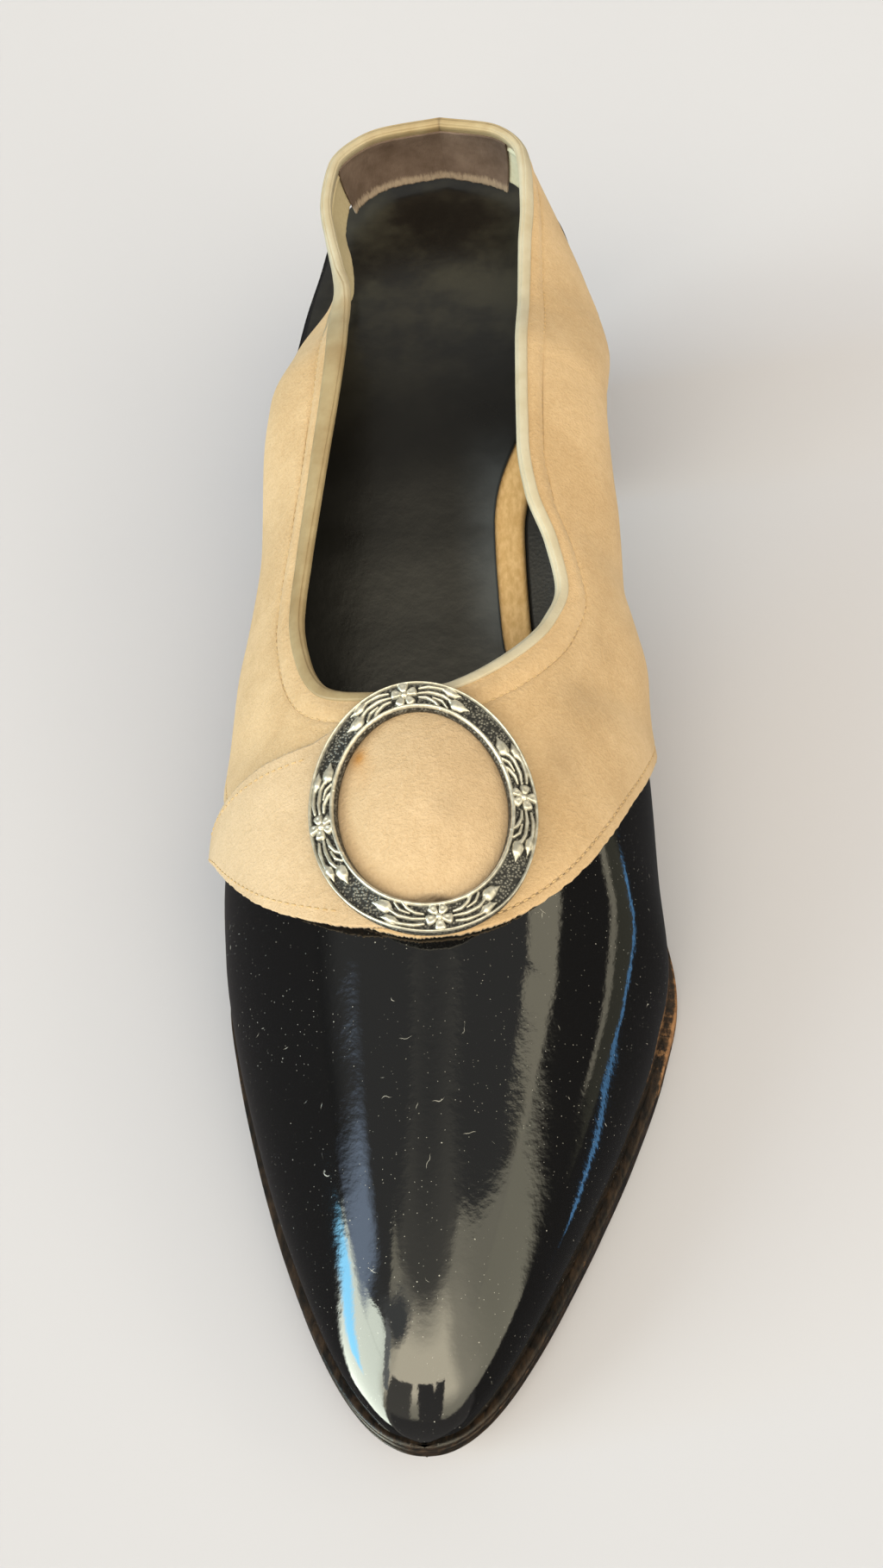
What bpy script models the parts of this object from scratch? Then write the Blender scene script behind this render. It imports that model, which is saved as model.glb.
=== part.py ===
"""Slingback court shoe for the right foot: sole, heel, insole, upper, suede band, strap, binding and buckle.

The toe points to -Y, the big-toe (medial) side to +X, and the shoe stands on z = 0.
Tables are in millimetres. Their rows are sections of the shoe, and functions read the surface between them.
"""

import math

import bmesh
import bpy
import numpy as np

MM = 0.001
NAME = "slingback_court_shoe"

# Thicknesses and clearances.
SOLE = 3.5
INSOLE = 2.5
SOCK = 0.8
WALL = 1.3
SUEDE = 1.3
STRAP = 1.0
BUCKLE = 1.8
GAP = 0.3
BINDING_RADIUS = 1.25
TOP_PIECE = 5.0

# How far each layer of the upper lies outside the inner face of its wall.
SUEDE_LIFT = WALL + GAP + 0.15
STRAP_LIFT = SUEDE_LIFT + SUEDE + GAP + 0.05
BUCKLE_LIFT = STRAP_LIFT + STRAP + GAP + 0.15

# Ends of the insole, the heel's front, and the sole's end, whose thickness leans back towards that front.
TOE_Y = -123.9
HEEL_Y = 121.8
BREAST_Y = 63.0
SOLE_END_Y = 61.8

# From the line of heel and toe to the middle of the whole shoe's box.
ORIGIN_SHIFT = (-0.16, 1.55, 0.0)

# Insole outline and its rise from the floor. margin: how far the outsole stands out past the insole.
BOTTOM_COLUMNS = ("y", "z", "lateral", "medial", "margin")
BOTTOM = (
    (-123.9, 8.6, 0.0, 0.0, 1.8),
    (-122.6, 8.4, 4.2, 4.1, 2.0),
    (-119.5, 7.9, 7.4, 7.1, 2.4),
    (-112.0, 6.9, 12.2, 11.8, 2.8),
    (-101.0, 5.6, 17.3, 17.2, 3.0),
    (-88.0, 4.5, 22.4, 23.0, 3.0),
    (-74.0, 3.8, 26.9, 28.6, 3.0),
    (-58.0, 3.8, 31.2, 33.8, 3.0),
    (-45.0, 3.8, 33.8, 36.2, 3.0),
    (-30.0, 4.5, 34.9, 34.4, 2.4),
    (-13.0, 7.8, 33.0, 28.0, 0.4),
    (4.0, 14.8, 29.6, 20.0, -0.6),
    (20.0, 23.8, 27.2, 15.2, -0.6),
    (36.0, 33.2, 26.6, 14.4, -0.6),
    (50.0, 40.2, 26.8, 18.2, -0.6),
    (66.0, 45.2, 28.2, 24.8, -0.6),
    (82.0, 47.8, 26.6, 26.2, -0.6),
    (96.0, 49.1, 24.2, 24.2, -0.6),
    (108.0, 50.1, 22.2, 21.4, -0.6),
    (116.0, 51.2, 16.6, 15.6, -0.6),
    (121.8, 52.2, 0.0, 0.0, -0.6),
)

# Inner face of the upper: widest half-widths, how high above the insole they lie, and the ridge's height.
LAST_COLUMNS = ("y", "lateral_belly", "medial_belly", "rise", "crown")
LAST = (
    (-123.9, 0.0, 0.0, 0.0, 8.6),
    (-122.6, 4.5, 4.4, 2.6, 13.4),
    (-119.5, 7.9, 7.6, 3.8, 17.6),
    (-112.0, 12.9, 12.5, 4.8, 22.2),
    (-101.0, 18.0, 17.9, 5.6, 26.8),
    (-88.0, 23.1, 23.7, 6.4, 31.4),
    (-74.0, 27.6, 29.3, 7.0, 36.2),
    (-58.0, 31.9, 34.4, 7.4, 42.0),
    (-45.0, 34.4, 36.6, 7.6, 46.6),
    (-30.0, 35.7, 35.6, 8.0, 51.0),
    (-13.0, 34.8, 34.8, 9.2, 54.8),
    (4.0, 32.2, 32.8, 10.6, 57.8),
    (20.0, 29.7, 30.0, 11.6, 60.2),
    (36.0, 28.5, 28.2, 11.4, 62.2),
    (50.0, 27.9, 28.4, 9.4, 63.8),
    (66.0, 27.6, 28.8, 7.0, 65.0),
    (121.8, 27.6, 28.8, 7.0, 66.0),
)
BELLY_SHARE = 0.3
LOW_ARC = math.radians(75)

# Ribs run from the suede's front edge back to the sling's middle. Ahead of the throat they end on the ridge.
RIDGE_COLUMNS = ("rib", "y")
RIDGE = (
    (0, -60.0),
    (3, -43.0),
    (5, -28.5),
    (6, -21.8),
)

# Opening of the upper: place and half-width of its edge at each rib, from the throat's middle backwards.
TOPLINE_COLUMNS = ("rib", "lateral_y", "lateral_x", "medial_y", "medial_x")
TOPLINE = (
    (6, -21.8, 0.0, -21.8, 0.0),
    (6.5, -22.2, 4.6, -21.3, 3.6),
    (7, -21.4, 9.4, -19.7, 6.8),
    (8, -18.6, 15.0, -13.5, 13.6),
    (9, -11.5, 18.8, -4.6, 19.1),
    (10, 0.0, 20.7, 3.8, 21.3),
    (11, 12.0, 19.9, 12.6, 19.8),
    (12, 23.0, 18.9, 21.5, 16.9),
    (13, 33.5, 18.0, 31.5, 15.8),
    (14, 44.0, 17.1, 42.5, 15.8),
    (15, 53.0, 16.5, 53.0, 15.8),
    (16, 60.0, 16.2, 60.0, 15.8),
    (17, 66.0, 16.0, 66.5, 15.8),
    (24, 66.0, 16.0, 66.5, 15.8),
)
THROAT_RIB = 6
CORNER_RIB = 8
QUARTER_RIB = 15
BACK_RIB = 24
WALL_TUCK = 0.012

# Lower edge of the patent wall at each rib, along the insole. The ribs ahead of it stand square to the shoe.
WALL_COLUMNS = ("rib", "low_y")
WALL_LOW = (
    (3, -43.0),
    (4, -37.6),
    (5, -32.4),
    (6, -27.4),
    (7, -22.0),
    (8, -16.0),
    (9, -9.0),
    (10, -0.5),
    (11, 9.0),
    (12, 19.0),
    (13, 30.0),
    (14, 41.0),
    (15, 51.5),
)
TOE_STATIONS = 14
ROWS_UP_WALL = 11

# Front and lower edge of the suede on the upper. rise: 0 at the insole, 0.3 at the belly, 1 at the ridge.
SUEDE_COLUMNS = ("rib", "lateral_y", "medial_y", "rise")
SUEDE_LOW = (
    (0, -60.0, -60.0, 1.0),
    (1, -59.5, -59.8, 0.96),
    (2, -58.5, -59.3, 0.92),
    (3, -57.2, -58.3, 0.88),
    (4, -55.6, -56.8, 0.84),
    (5, -53.2, -54.0, 0.79),
    (6, -48.5, -48.4, 0.72),
    (7, -40.0, -37.4, 0.62),
    (8, -27.5, -24.8, 0.515),
    (9, -13.0, -11.8, 0.385),
    (10, -1.0, -1.0, 0.22),
    (11, 8.0, 8.0, 0.03),
    (12, 18.0, 18.0, 0.03),
    (13, 29.0, 29.0, 0.03),
    (14, 41.0, 41.0, 0.03),
    (15, 52.0, 52.0, 0.05),
    (16, 60.5, 60.5, 0.14),
    (17, 67.5, 67.5, 0.20),
    (24, 67.5, 67.5, 0.20),
)
ROWS_UP_SUEDE = 10

# The slack sling, from the quarter to its back: lower and upper edge of its inner face, and its bow.
SLING_COLUMNS = ("rib", "low_x", "low_y", "low_z", "top_x", "top_y", "top_z", "bow")
SLING_LATERAL = (
    (0, -28.0, 54.0, 43.6, -17.4, 53.5, 61.0, 3.0),
    (15, -28.0, 54.0, 43.6, -17.4, 53.5, 61.0, 3.0),
    (16, -28.4, 61.5, 46.8, -17.2, 60.0, 61.4, 2.2),
    (17, -26.6, 69.5, 49.8, -16.8, 66.0, 62.0, 1.4),
    (18, -20.6, 76.0, 52.6, -16.6, 71.5, 62.8, 0.8),
    (19, -16.6, 82.5, 55.2, -17.8, 78.5, 63.6, 0.5),
    (20, -17.2, 89.5, 56.8, -19.5, 86.5, 65.0, 0.5),
    (21, -18.8, 97.5, 57.8, -20.7, 94.5, 66.6, 0.6),
    (22, -18.4, 106.0, 58.2, -19.7, 103.5, 68.2, 0.7),
    (23, -11.4, 114.0, 58.4, -12.0, 111.2, 69.2, 0.7),
    (24, 0.0, 116.6, 58.4, 0.0, 113.3, 69.6, 0.7),
)
SLING_MEDIAL = (
    (0, 25.0, 54.0, 43.2, 16.4, 53.5, 61.2, 7.0),
    (15, 25.0, 54.0, 43.2, 16.4, 53.5, 61.2, 7.0),
    (16, 29.4, 61.0, 45.6, 16.4, 60.0, 61.6, 4.0),
    (17, 30.0, 68.0, 47.8, 16.4, 67.0, 62.2, 2.2),
    (18, 28.6, 75.5, 50.2, 16.4, 74.0, 63.0, 1.4),
    (19, 26.4, 83.0, 52.0, 16.4, 81.0, 64.2, 1.2),
    (20, 24.0, 91.0, 53.4, 16.6, 88.5, 65.6, 1.0),
    (21, 20.8, 99.0, 56.0, 16.3, 96.5, 67.2, 0.8),
    (22, 16.4, 107.0, 57.6, 15.2, 104.6, 68.4, 0.7),
    (23, 9.8, 113.0, 58.2, 10.4, 110.4, 69.3, 0.7),
    (24, 0.0, 116.6, 58.4, 0.0, 113.3, 69.6, 0.7),
)
SLING_BLEND = (15.0, 17.2)

# Strap under the buckle with its rounded tab. across: 0 at the ridge, 1 at the belly of the medial side.
STRAP_COLUMNS = ("across", "front_y", "back_y")
STRAP_ROWS = (
    (0.245, -42.0, -40.0),
    (0.22, -48.5, -33.5),
    (0.16, -53.5, -28.5),
    (0.08, -56.6, -25.4),
    (0.0, -58.2, -23.8),
    (-0.08, -58.6, -23.8),
    (-0.15, -58.2, -24.6),
    (-0.22, -57.2, -26.2),
    (-0.29, -55.6, -27.4),
    (-0.37, -53.4, -27.1),
    (-0.46, -50.1, -26.6),
    (-0.55, -45.6, -26.3),
    (-0.64, -40.0, -26.1),
    (-0.73, -34.2, -25.9),
    (-0.80, -30.6, -26.1),
    (-0.84, -28.6, -26.9),
)
ROWS_ACROSS_STRAP = 7
DOME = 2.0

# Oval buckle: middle, half-sizes across and along the bare vamp, lean, and its inner oval's share.
BUCKLE_X = 0.6
BUCKLE_Y = -40.8
BUCKLE_ACROSS = 15.1
BUCKLE_ALONG = 19.6
BUCKLE_LEAN = math.radians(8)
BUCKLE_INNER = 0.77
BUCKLE_STEPS = 56
BUCKLE_ROWS = 3

# Covered heel: its seat overhang, and the outline of its foot.
SEAT_MARGIN = 0.8
HEEL_FOOT_BACK = 113.5
HEEL_FOOT_FRONT = 79.0
HEEL_FOOT_HALF = 16.0
HEEL_RINGS = 9
HEEL_SIDE_STEPS = 26
HEEL_CURVE = 1.7

SIDES = {"lateral": -1, "medial": 1}

COLOURS = {
    "patent": ((0.010, 0.010, 0.012), 0.08),
    "suede": ((0.610, 0.440, 0.250), 0.95),
    "binding": ((0.700, 0.640, 0.480), 0.60),
    "silver": ((0.520, 0.510, 0.480), 0.32),
    "sole_leather": ((0.035, 0.024, 0.018), 0.60),
    "insole_board": ((0.480, 0.280, 0.110), 0.70),
    "sock_leather": ((0.014, 0.013, 0.014), 0.35),
    "top_piece_rubber": ((0.020, 0.019, 0.018), 0.75),
}


def smooth_read(places, values, at):
    """Monotone cubic through (places, values), so flat stretches of a table stay flat."""
    places = np.asarray(places, float)
    values = np.asarray(values, float)
    at = np.clip(np.asarray(at, float), places[0], places[-1])
    step = np.diff(places)
    slope = np.diff(values) / step
    tangent = np.empty_like(values)
    tangent[0], tangent[-1] = slope[0], slope[-1]
    before, after = slope[:-1], slope[1:]
    same_way = before * after > 0
    weight_a = 2 * step[1:] + step[:-1]
    weight_b = step[1:] + 2 * step[:-1]
    safe_before = np.where(same_way, before, 1.0)
    safe_after = np.where(same_way, after, 1.0)
    mean = (weight_a + weight_b) / (weight_a / safe_before + weight_b / safe_after)
    tangent[1:-1] = np.where(same_way, mean, 0.0)
    k = np.clip(np.searchsorted(places, at, side="right") - 1, 0, len(step) - 1)
    t = (at - places[k]) / step[k]
    rest = 1 - t
    return (
        values[k] * (1 + 2 * t) * rest**2
        + tangent[k] * step[k] * t * rest**2
        + values[k + 1] * t**2 * (3 - 2 * t)
        - tangent[k + 1] * step[k] * t**2 * rest
    )


def column(table, columns, name):
    return [row[columns.index(name)] for row in table]


def read(table, columns, name, at):
    """One column of a table, read at places of its first column."""
    return smooth_read(column(table, columns, columns[0]), column(table, columns, name), at)


def station_of(y):
    """Place along the insole from 0 at the toe to 1 at the heel, drawn out at its two round ends."""
    share = np.clip((np.asarray(y, float) - TOE_Y) / (HEEL_Y - TOE_Y), 0, 1)
    return np.arccos(1 - 2 * share) / math.pi


def y_of(station):
    return TOE_Y + (HEEL_Y - TOE_Y) * (1 - np.cos(np.asarray(station) * math.pi)) / 2


def along_shoe(table, columns, name, y):
    """One column of a table whose rows are sections across the shoe."""
    return smooth_read(station_of(column(table, columns, "y")), column(table, columns, name), station_of(y))


def bottom(name, y):
    return along_shoe(BOTTOM, BOTTOM_COLUMNS, name, y)


def last(name, y):
    return along_shoe(LAST, LAST_COLUMNS, name, y)


def points(x, y, z):
    return np.stack(np.broadcast_arrays(x, y, z), -1)


def mix(a, b, t):
    return a + (b - a) * t


def smoothstep(low, high, at):
    t = np.clip((at - low) / (high - low), 0, 1)
    return t * t * (3 - 2 * t)


def last_point(side, y, rise):
    """Point of the upper's inner face: an arc from insole to belly, a quarter ellipse to the ridge."""
    foot_x = bottom(side, y) + GAP
    floor = bottom("z", y)
    belly_x = last(side + "_belly", y)
    belly_z = floor + last("rise", y)
    reach, height = belly_x - foot_x, np.maximum(belly_z - floor, 1e-6)
    toe_lift = 0.9 * (1 - smoothstep(TOE_Y, TOE_Y + 6, y))
    foot_z = floor + GAP + toe_lift + WALL * reach / np.hypot(reach, height)
    low = LOW_ARC * (1 - np.clip(rise / BELLY_SHARE, 0, 1))
    low_x = foot_x + reach * (np.cos(low) - math.cos(LOW_ARC)) / (1 - math.cos(LOW_ARC))
    low_z = foot_z + (belly_z - foot_z) * (1 - np.sin(low) / math.sin(LOW_ARC))
    high = np.maximum(rise - BELLY_SHARE, 0) / (1 - BELLY_SHARE) * math.pi / 2
    high_x = belly_x * np.cos(high)
    high_z = belly_z + (last("crown", y) - belly_z) * np.sin(high)
    over = rise > BELLY_SHARE
    return points(SIDES[side] * np.where(over, high_x, low_x), y, np.where(over, high_z, low_z))


def unit(vectors):
    return vectors / np.maximum(np.linalg.norm(vectors, axis=-1, keepdims=True), 1e-9)


def lifted_point(side, y, rise, lift):
    """Point that lies outside the upper's inner face by a lift, square to it."""
    along = last_point(side, y + 0.05, rise) - last_point(side, y - 0.05, rise)
    upward = last_point(side, y, rise + 0.001) - last_point(side, y, rise - 0.001)
    outward = unit(np.cross(along, upward)) * SIDES[side]
    return last_point(side, y, rise) + outward * np.asarray(lift)[..., None]


def rise_at(side, y, x):
    """How far up its wall the upper is x wide of the ridge."""
    share = np.clip(x / np.maximum(last(side + "_belly", y), 1e-6), 0, 1)
    return BELLY_SHARE + (1 - BELLY_SHARE) * np.arccos(share) / (math.pi / 2)


def topline(side, rib):
    """Place along the shoe and up the wall of the upper's edge at a rib: the ridge, ahead of the throat."""
    ridge_y = read(RIDGE, RIDGE_COLUMNS, "y", rib)
    edge_y = read(TOPLINE, TOPLINE_COLUMNS, side + "_y", rib)
    y = np.where(rib < THROAT_RIB, ridge_y, edge_y)
    x = read(TOPLINE, TOPLINE_COLUMNS, side + "_x", rib)
    return y, rise_at(side, y, x)


def rib_stations(first, final, steps=2):
    """Even steps along the ribs, twice as close round the throat's corners."""
    ahead = np.arange(first, THROAT_RIB, 1 / steps)
    corners = np.arange(THROAT_RIB, CORNER_RIB, 0.5 / steps)
    behind = np.arange(CORNER_RIB, final + 0.1 / steps, 1 / steps)
    return np.concatenate([ahead, corners, behind])


def wall_grid(side):
    """Patent wall of one side: square ribs round the toe, then ribs that swing back to the topline."""
    first_rib = WALL_LOW[0][0]
    toe = y_of(np.linspace(0, station_of(WALL_LOW[0][1]), TOE_STATIONS))[:-1]
    ribs = rib_stations(first_rib, QUARTER_RIB)
    top_y, top_rise = topline(side, ribs)
    top_rise = top_rise - WALL_TUCK * (ribs > THROAT_RIB)
    low_y = np.concatenate([toe, read(WALL_LOW, WALL_COLUMNS, "low_y", ribs)])
    top_y = np.concatenate([toe, top_y])
    top_rise = np.concatenate([np.ones(len(toe)), top_rise])
    up = np.linspace(0, 1, ROWS_UP_WALL)[None, :]
    return last_point(side, mix(low_y[:, None], top_y[:, None], up), top_rise[:, None] * up)


def sling_edge(table, edge, rib):
    return points(*(read(table, SLING_COLUMNS, f"{edge}_{axis}", rib) for axis in "xyz"))


def sling_grid(side, ribs, up):
    """Inner face of the sling: straight from its lower to its upper edge, bowed outwards in between."""
    table = SLING_LATERAL if side == "lateral" else SLING_MEDIAL
    low = sling_edge(table, "low", ribs)[:, None, :]
    top = sling_edge(table, "top", ribs)[:, None, :]
    bow = read(table, SLING_COLUMNS, "bow", ribs)[:, None, None]
    face = mix(low, top, up[None, :, None])
    outward = unit(face * (1, 1, 0) - np.array([0.0, 82.0, 0.0]))
    return face + outward * bow * (4 * up * (1 - up))[None, :, None]


def suede_grid(side, ribs, lift=SUEDE_LIFT):
    """Suede of one side, from the front edge over the vamp and quarter to the middle of the sling's back."""
    up = np.linspace(0, 1, ROWS_UP_SUEDE)
    low_y = read(SUEDE_LOW, SUEDE_COLUMNS, side + "_y", ribs)[:, None]
    low_rise = read(SUEDE_LOW, SUEDE_COLUMNS, "rise", ribs)[:, None]
    top_y, top_rise = (value[:, None] for value in topline(side, ribs))
    on_upper = lifted_point(side, mix(low_y, top_y, up), mix(low_rise, top_rise, up), lift)
    sling = sling_grid(side, ribs, up)
    return mix(on_upper, sling, smoothstep(*SLING_BLEND, ribs)[:, None, None])


def vamp_point(across, y, lift):
    """Point of the upper by its place across: 0 at the ridge, 1 and -1 at the bellies, more below them."""
    over = 1 - np.abs(across) * (1 - BELLY_SHARE)
    medial = lifted_point("medial", y, over, lift)
    lateral = lifted_point("lateral", y, over, lift)
    return np.where((across >= 0)[..., None], medial, lateral)


def across_at(x, y):
    """Place across the vamp of a point x wide of the ridge."""
    belly = np.where(x >= 0, last("medial_belly", y), last("lateral_belly", y))
    return np.arcsin(np.clip(x / belly, -1, 1)) / (math.pi / 2)


def buckle_radius(x, y):
    """Distance from the buckle's middle as a share of its outer oval."""
    dx, dy = x - BUCKLE_X, y - BUCKLE_Y
    turned_x = dx * math.cos(BUCKLE_LEAN) + dy * math.sin(BUCKLE_LEAN)
    turned_y = dy * math.cos(BUCKLE_LEAN) - dx * math.sin(BUCKLE_LEAN)
    return np.hypot(turned_x / BUCKLE_ACROSS, turned_y / BUCKLE_ALONG)


def strap_grid():
    """Strap through the buckle: flat on the suede, domed inside the oval, with a tab on the lateral side."""
    across = np.array(column(STRAP_ROWS, STRAP_COLUMNS, "across"))
    steps = np.linspace(0, len(across) - 1, 2 * len(across) - 1)
    index = np.arange(len(across))
    across = smooth_read(index, across, steps)[:, None]
    front = smooth_read(index, column(STRAP_ROWS, STRAP_COLUMNS, "front_y"), steps)[:, None]
    back = smooth_read(index, column(STRAP_ROWS, STRAP_COLUMNS, "back_y"), steps)[:, None]
    y = mix(front, back, np.linspace(0, 1, ROWS_ACROSS_STRAP)[None, :])
    across = np.broadcast_to(across, y.shape)
    bare = vamp_point(across, y, 0.0)
    hump = np.clip(1 - (buckle_radius(bare[..., 0], bare[..., 1]) / BUCKLE_INNER) ** 2, 0, 1)
    return vamp_point(across, y, STRAP_LIFT + DOME * hump)


def buckle_grid():
    """Oval band laid on the vamp, from its inner to its outer rim."""
    turn = np.linspace(0, 2 * math.pi, BUCKLE_STEPS + 1)[:, None]
    share = np.linspace(BUCKLE_INNER, 1, BUCKLE_ROWS)[None, :]
    flat_x = BUCKLE_ACROSS * share * np.cos(turn)
    flat_y = BUCKLE_ALONG * share * np.sin(turn)
    x = BUCKLE_X + flat_x * math.cos(BUCKLE_LEAN) - flat_y * math.sin(BUCKLE_LEAN)
    y = BUCKLE_Y + flat_y * math.cos(BUCKLE_LEAN) + flat_x * math.sin(BUCKLE_LEAN)
    return vamp_point(across_at(x, y), y, BUCKLE_LIFT)


def outline(side, stations, margin):
    """Insole outline of one side, moved outwards in plan by a margin."""
    nudge = 1e-3

    def place(station):
        y = y_of(np.abs(station))
        x = np.where(station < 0, -1, 1) * bottom(side, y)
        return np.stack([SIDES[side] * x, y], -1)

    here = place(stations)
    forward = place(np.minimum(stations + nudge, 1)) - place(stations - nudge)
    normal = unit(np.stack([forward[..., 1], -forward[..., 0]], -1)) * SIDES[side]
    return here + normal * np.asarray(margin)[..., None]


def footbed_grid(stations, lateral_margin, medial_margin, height, rows):
    """Sheet that lies along the insole's curve at a height above it, between two margins."""
    stations = np.asarray(stations)
    blank = np.ones_like(stations)
    left = outline("lateral", stations, lateral_margin * blank)[:, None, :]
    right = outline("medial", stations, medial_margin * blank)[:, None, :]
    plan = mix(left, right, np.linspace(0, 1, rows)[None, :, None])
    x, y = plan[..., 0], plan[..., 1]
    slope = (bottom("z", y + 0.5) - bottom("z", y - 0.5)) / 1.0
    return points(x, y, bottom("z", y) + height * np.hypot(1, slope))


def grid_faces(rows, columns, start, flip):
    """Quads of a grid of points, numbered from start."""
    index = np.arange(rows * columns).reshape(rows, columns) + start
    quads = np.stack([index[:-1, :-1], index[1:, :-1], index[1:, 1:], index[:-1, 1:]], -1).reshape(-1, 4)
    return quads[:, ::-1] if flip else quads


def surface_mesh(name, grids):
    """Open surface through one or more grids of points, joined where their points coincide."""
    corners = np.concatenate([grid.reshape(-1, 3) for grid, _ in grids]) * MM
    starts = np.cumsum([0] + [grid.shape[0] * grid.shape[1] for grid, _ in grids])
    faces = [grid_faces(*grid.shape[:2], start, flip) for (grid, flip), start in zip(grids, starts)]
    mesh = bpy.data.meshes.new(name)
    mesh.from_pydata(corners.tolist(), [], np.concatenate(faces).tolist())
    shape = bmesh.new()
    shape.from_mesh(mesh)
    bmesh.ops.remove_doubles(shape, verts=shape.verts, dist=1e-6)
    bmesh.ops.dissolve_degenerate(shape, edges=shape.edges, dist=1e-7)
    shape.to_mesh(mesh)
    shape.free()
    return mesh


def material(name):
    """Principled material of a finish."""
    colour, roughness = COLOURS[name]
    made = bpy.data.materials.get(name) or bpy.data.materials.new(name)
    made.use_nodes = True
    shader = made.node_tree.nodes["Principled BSDF"]
    shader.inputs["Base Color"].default_value = (*colour, 1)
    shader.inputs["Roughness"].default_value = roughness
    shader.inputs["Metallic"].default_value = 1.0 if name == "silver" else 0.0
    return made


def add_object(name, data, finish, shoe):
    """Puts a piece into the shoe's collection, under the shoe's own empty."""
    piece = bpy.data.objects.new(name, data)
    data.materials.append(material(finish))
    bpy.data.collections[NAME].objects.link(piece)
    piece.parent = shoe
    return piece


def add_sheet(name, grids, thickness, finish, shoe):
    """A piece of even thickness: its open surface, thickened outwards."""
    piece = add_object(name, surface_mesh(name, grids), finish, shoe)
    solidify = piece.modifiers.new("thickness", "SOLIDIFY")
    solidify.thickness = thickness * MM
    solidify.offset = 1.0
    piece.data.shade_smooth()
    return piece


def add_upper(shoe):
    """Patent vamp and quarters in one hollow wall, open at the throat, topline, heel and underneath."""
    sides = [(wall_grid(side), side == "lateral") for side in SIDES]
    return add_sheet("upper", sides, WALL, "patent", shoe)


def add_suede_band(shoe):
    """Suede ring: laid over the throat and quarters, and free as a sling round the heel."""
    ribs = rib_stations(0, BACK_RIB)
    sides = [(suede_grid(side, ribs), side == "lateral") for side in SIDES]
    return add_sheet("suede_band", sides, SUEDE, "suede", shoe)


def add_strap_tab(shoe):
    return add_sheet("strap_tab", [(strap_grid(), True)], STRAP, "suede", shoe)


def add_buckle(shoe):
    return add_sheet("buckle", [(buckle_grid(), True)], BUCKLE, "silver", shoe)


def topline_path():
    """Middle of the binding: just above the suede's edge, from the throat round the heel and back."""
    halves = []
    ribs = rib_stations(THROAT_RIB, BACK_RIB)
    for side in SIDES:
        grid = suede_grid(side, ribs, SUEDE_LIFT + SUEDE / 2)
        edge, below = grid[:, -1], grid[:, -2]
        along = np.gradient(edge, axis=0)
        upward = edge - below
        upward -= along * np.sum(upward * along, -1, keepdims=True) / np.sum(along * along, -1, keepdims=True)
        upward = unit(upward)
        outward = unit(np.cross(along, upward)) * SIDES[side]
        in_sling = smoothstep(*SLING_BLEND, ribs)[:, None]
        halves.append(edge + upward * (BINDING_RADIUS + GAP + 0.1) + outward * in_sling * SUEDE / 2)
    lateral, medial = halves
    throat = (lateral[:1] + medial[:1]) / 2
    back = (lateral[-1:] + medial[-1:]) / 2
    return np.concatenate([throat, lateral[1:-1], back, medial[-2:0:-1]])


def add_binding(shoe):
    """Rolled binding along the whole topline, as a closed cord."""
    path = topline_path() * MM
    curve = bpy.data.curves.new("topline_binding", "CURVE")
    curve.dimensions = "3D"
    spline = curve.splines.new("POLY")
    spline.points.add(len(path) - 1)
    for point, place in zip(spline.points, path):
        point.co = (*place, 1)
    spline.use_cyclic_u = True
    curve.bevel_depth = BINDING_RADIUS * MM
    curve.bevel_resolution = 1
    return add_object("topline_binding", curve, "binding", shoe)


def add_insole(shoe):
    grid = footbed_grid(np.linspace(0, 1, 41), -GAP, -GAP, 0.0, 5)
    return add_sheet("insole", [(grid, True)], INSOLE, "insole_board", shoe)


def add_sock(shoe):
    """Sock lining: over the whole insole, but short of its edge along the arch, where the board shows."""
    stations = np.linspace(station_of(-112), 1, 37)
    arch = smoothstep(-40, 10, y_of(stations)) * (1 - smoothstep(40, 78, y_of(stations)))
    grid = footbed_grid(stations, -1.2, -1.2 - 3.6 * arch, INSOLE + GAP, 5)
    return add_sheet("sock", [(grid, True)], SOCK, "sock_leather", shoe)


def add_outsole(shoe):
    """Leather sole from the toe to the heel's breast, flat on the floor under the ball."""
    stations = np.linspace(0, station_of(SOLE_END_Y), 38)
    margin = bottom("margin", y_of(stations))
    grid = footbed_grid(stations, margin, margin, -GAP, 5)
    return add_sheet("outsole", [(grid, False)], SOLE, "sole_leather", shoe)


def seat_ring():
    """Outline of the heel's seat: round the back between the breast's corners, then along the breast."""
    stations = np.linspace(station_of(BREAST_Y + GAP), 1, HEEL_SIDE_STEPS // 2 + 1)
    margin = SEAT_MARGIN * np.ones_like(stations)
    left = outline("lateral", stations, margin)
    right = outline("medial", stations, margin)
    breast = mix(right[:1], left[:1], np.linspace(0, 1, 8)[1:-1, None])
    return np.concatenate([left, right[-2::-1], breast])


def foot_ring(seat):
    """Outline of the heel's foot: a D with a round back, its points matched to the seat's."""
    front, back = seat[:, 1].min(), seat[:, 1].max()
    share = (seat[:, 1] - front) / (back - front)
    y = mix(HEEL_FOOT_FRONT, HEEL_FOOT_BACK, share)
    middle, length = HEEL_FOOT_FRONT, HEEL_FOOT_BACK - HEEL_FOOT_FRONT
    half = HEEL_FOOT_HALF * np.sqrt(np.clip(1 - ((y - middle) / length) ** 2.6, 0, 1))
    widest = np.where(seat[:, 0] < 0, -seat[0, 0], seat[2 * (HEEL_SIDE_STEPS // 2), 0])
    on_breast = share < 1e-3
    x = np.where(on_breast, seat[:, 0] / widest * HEEL_FOOT_HALF, np.sign(seat[:, 0]) * half)
    return np.stack([x, y], -1)


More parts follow.
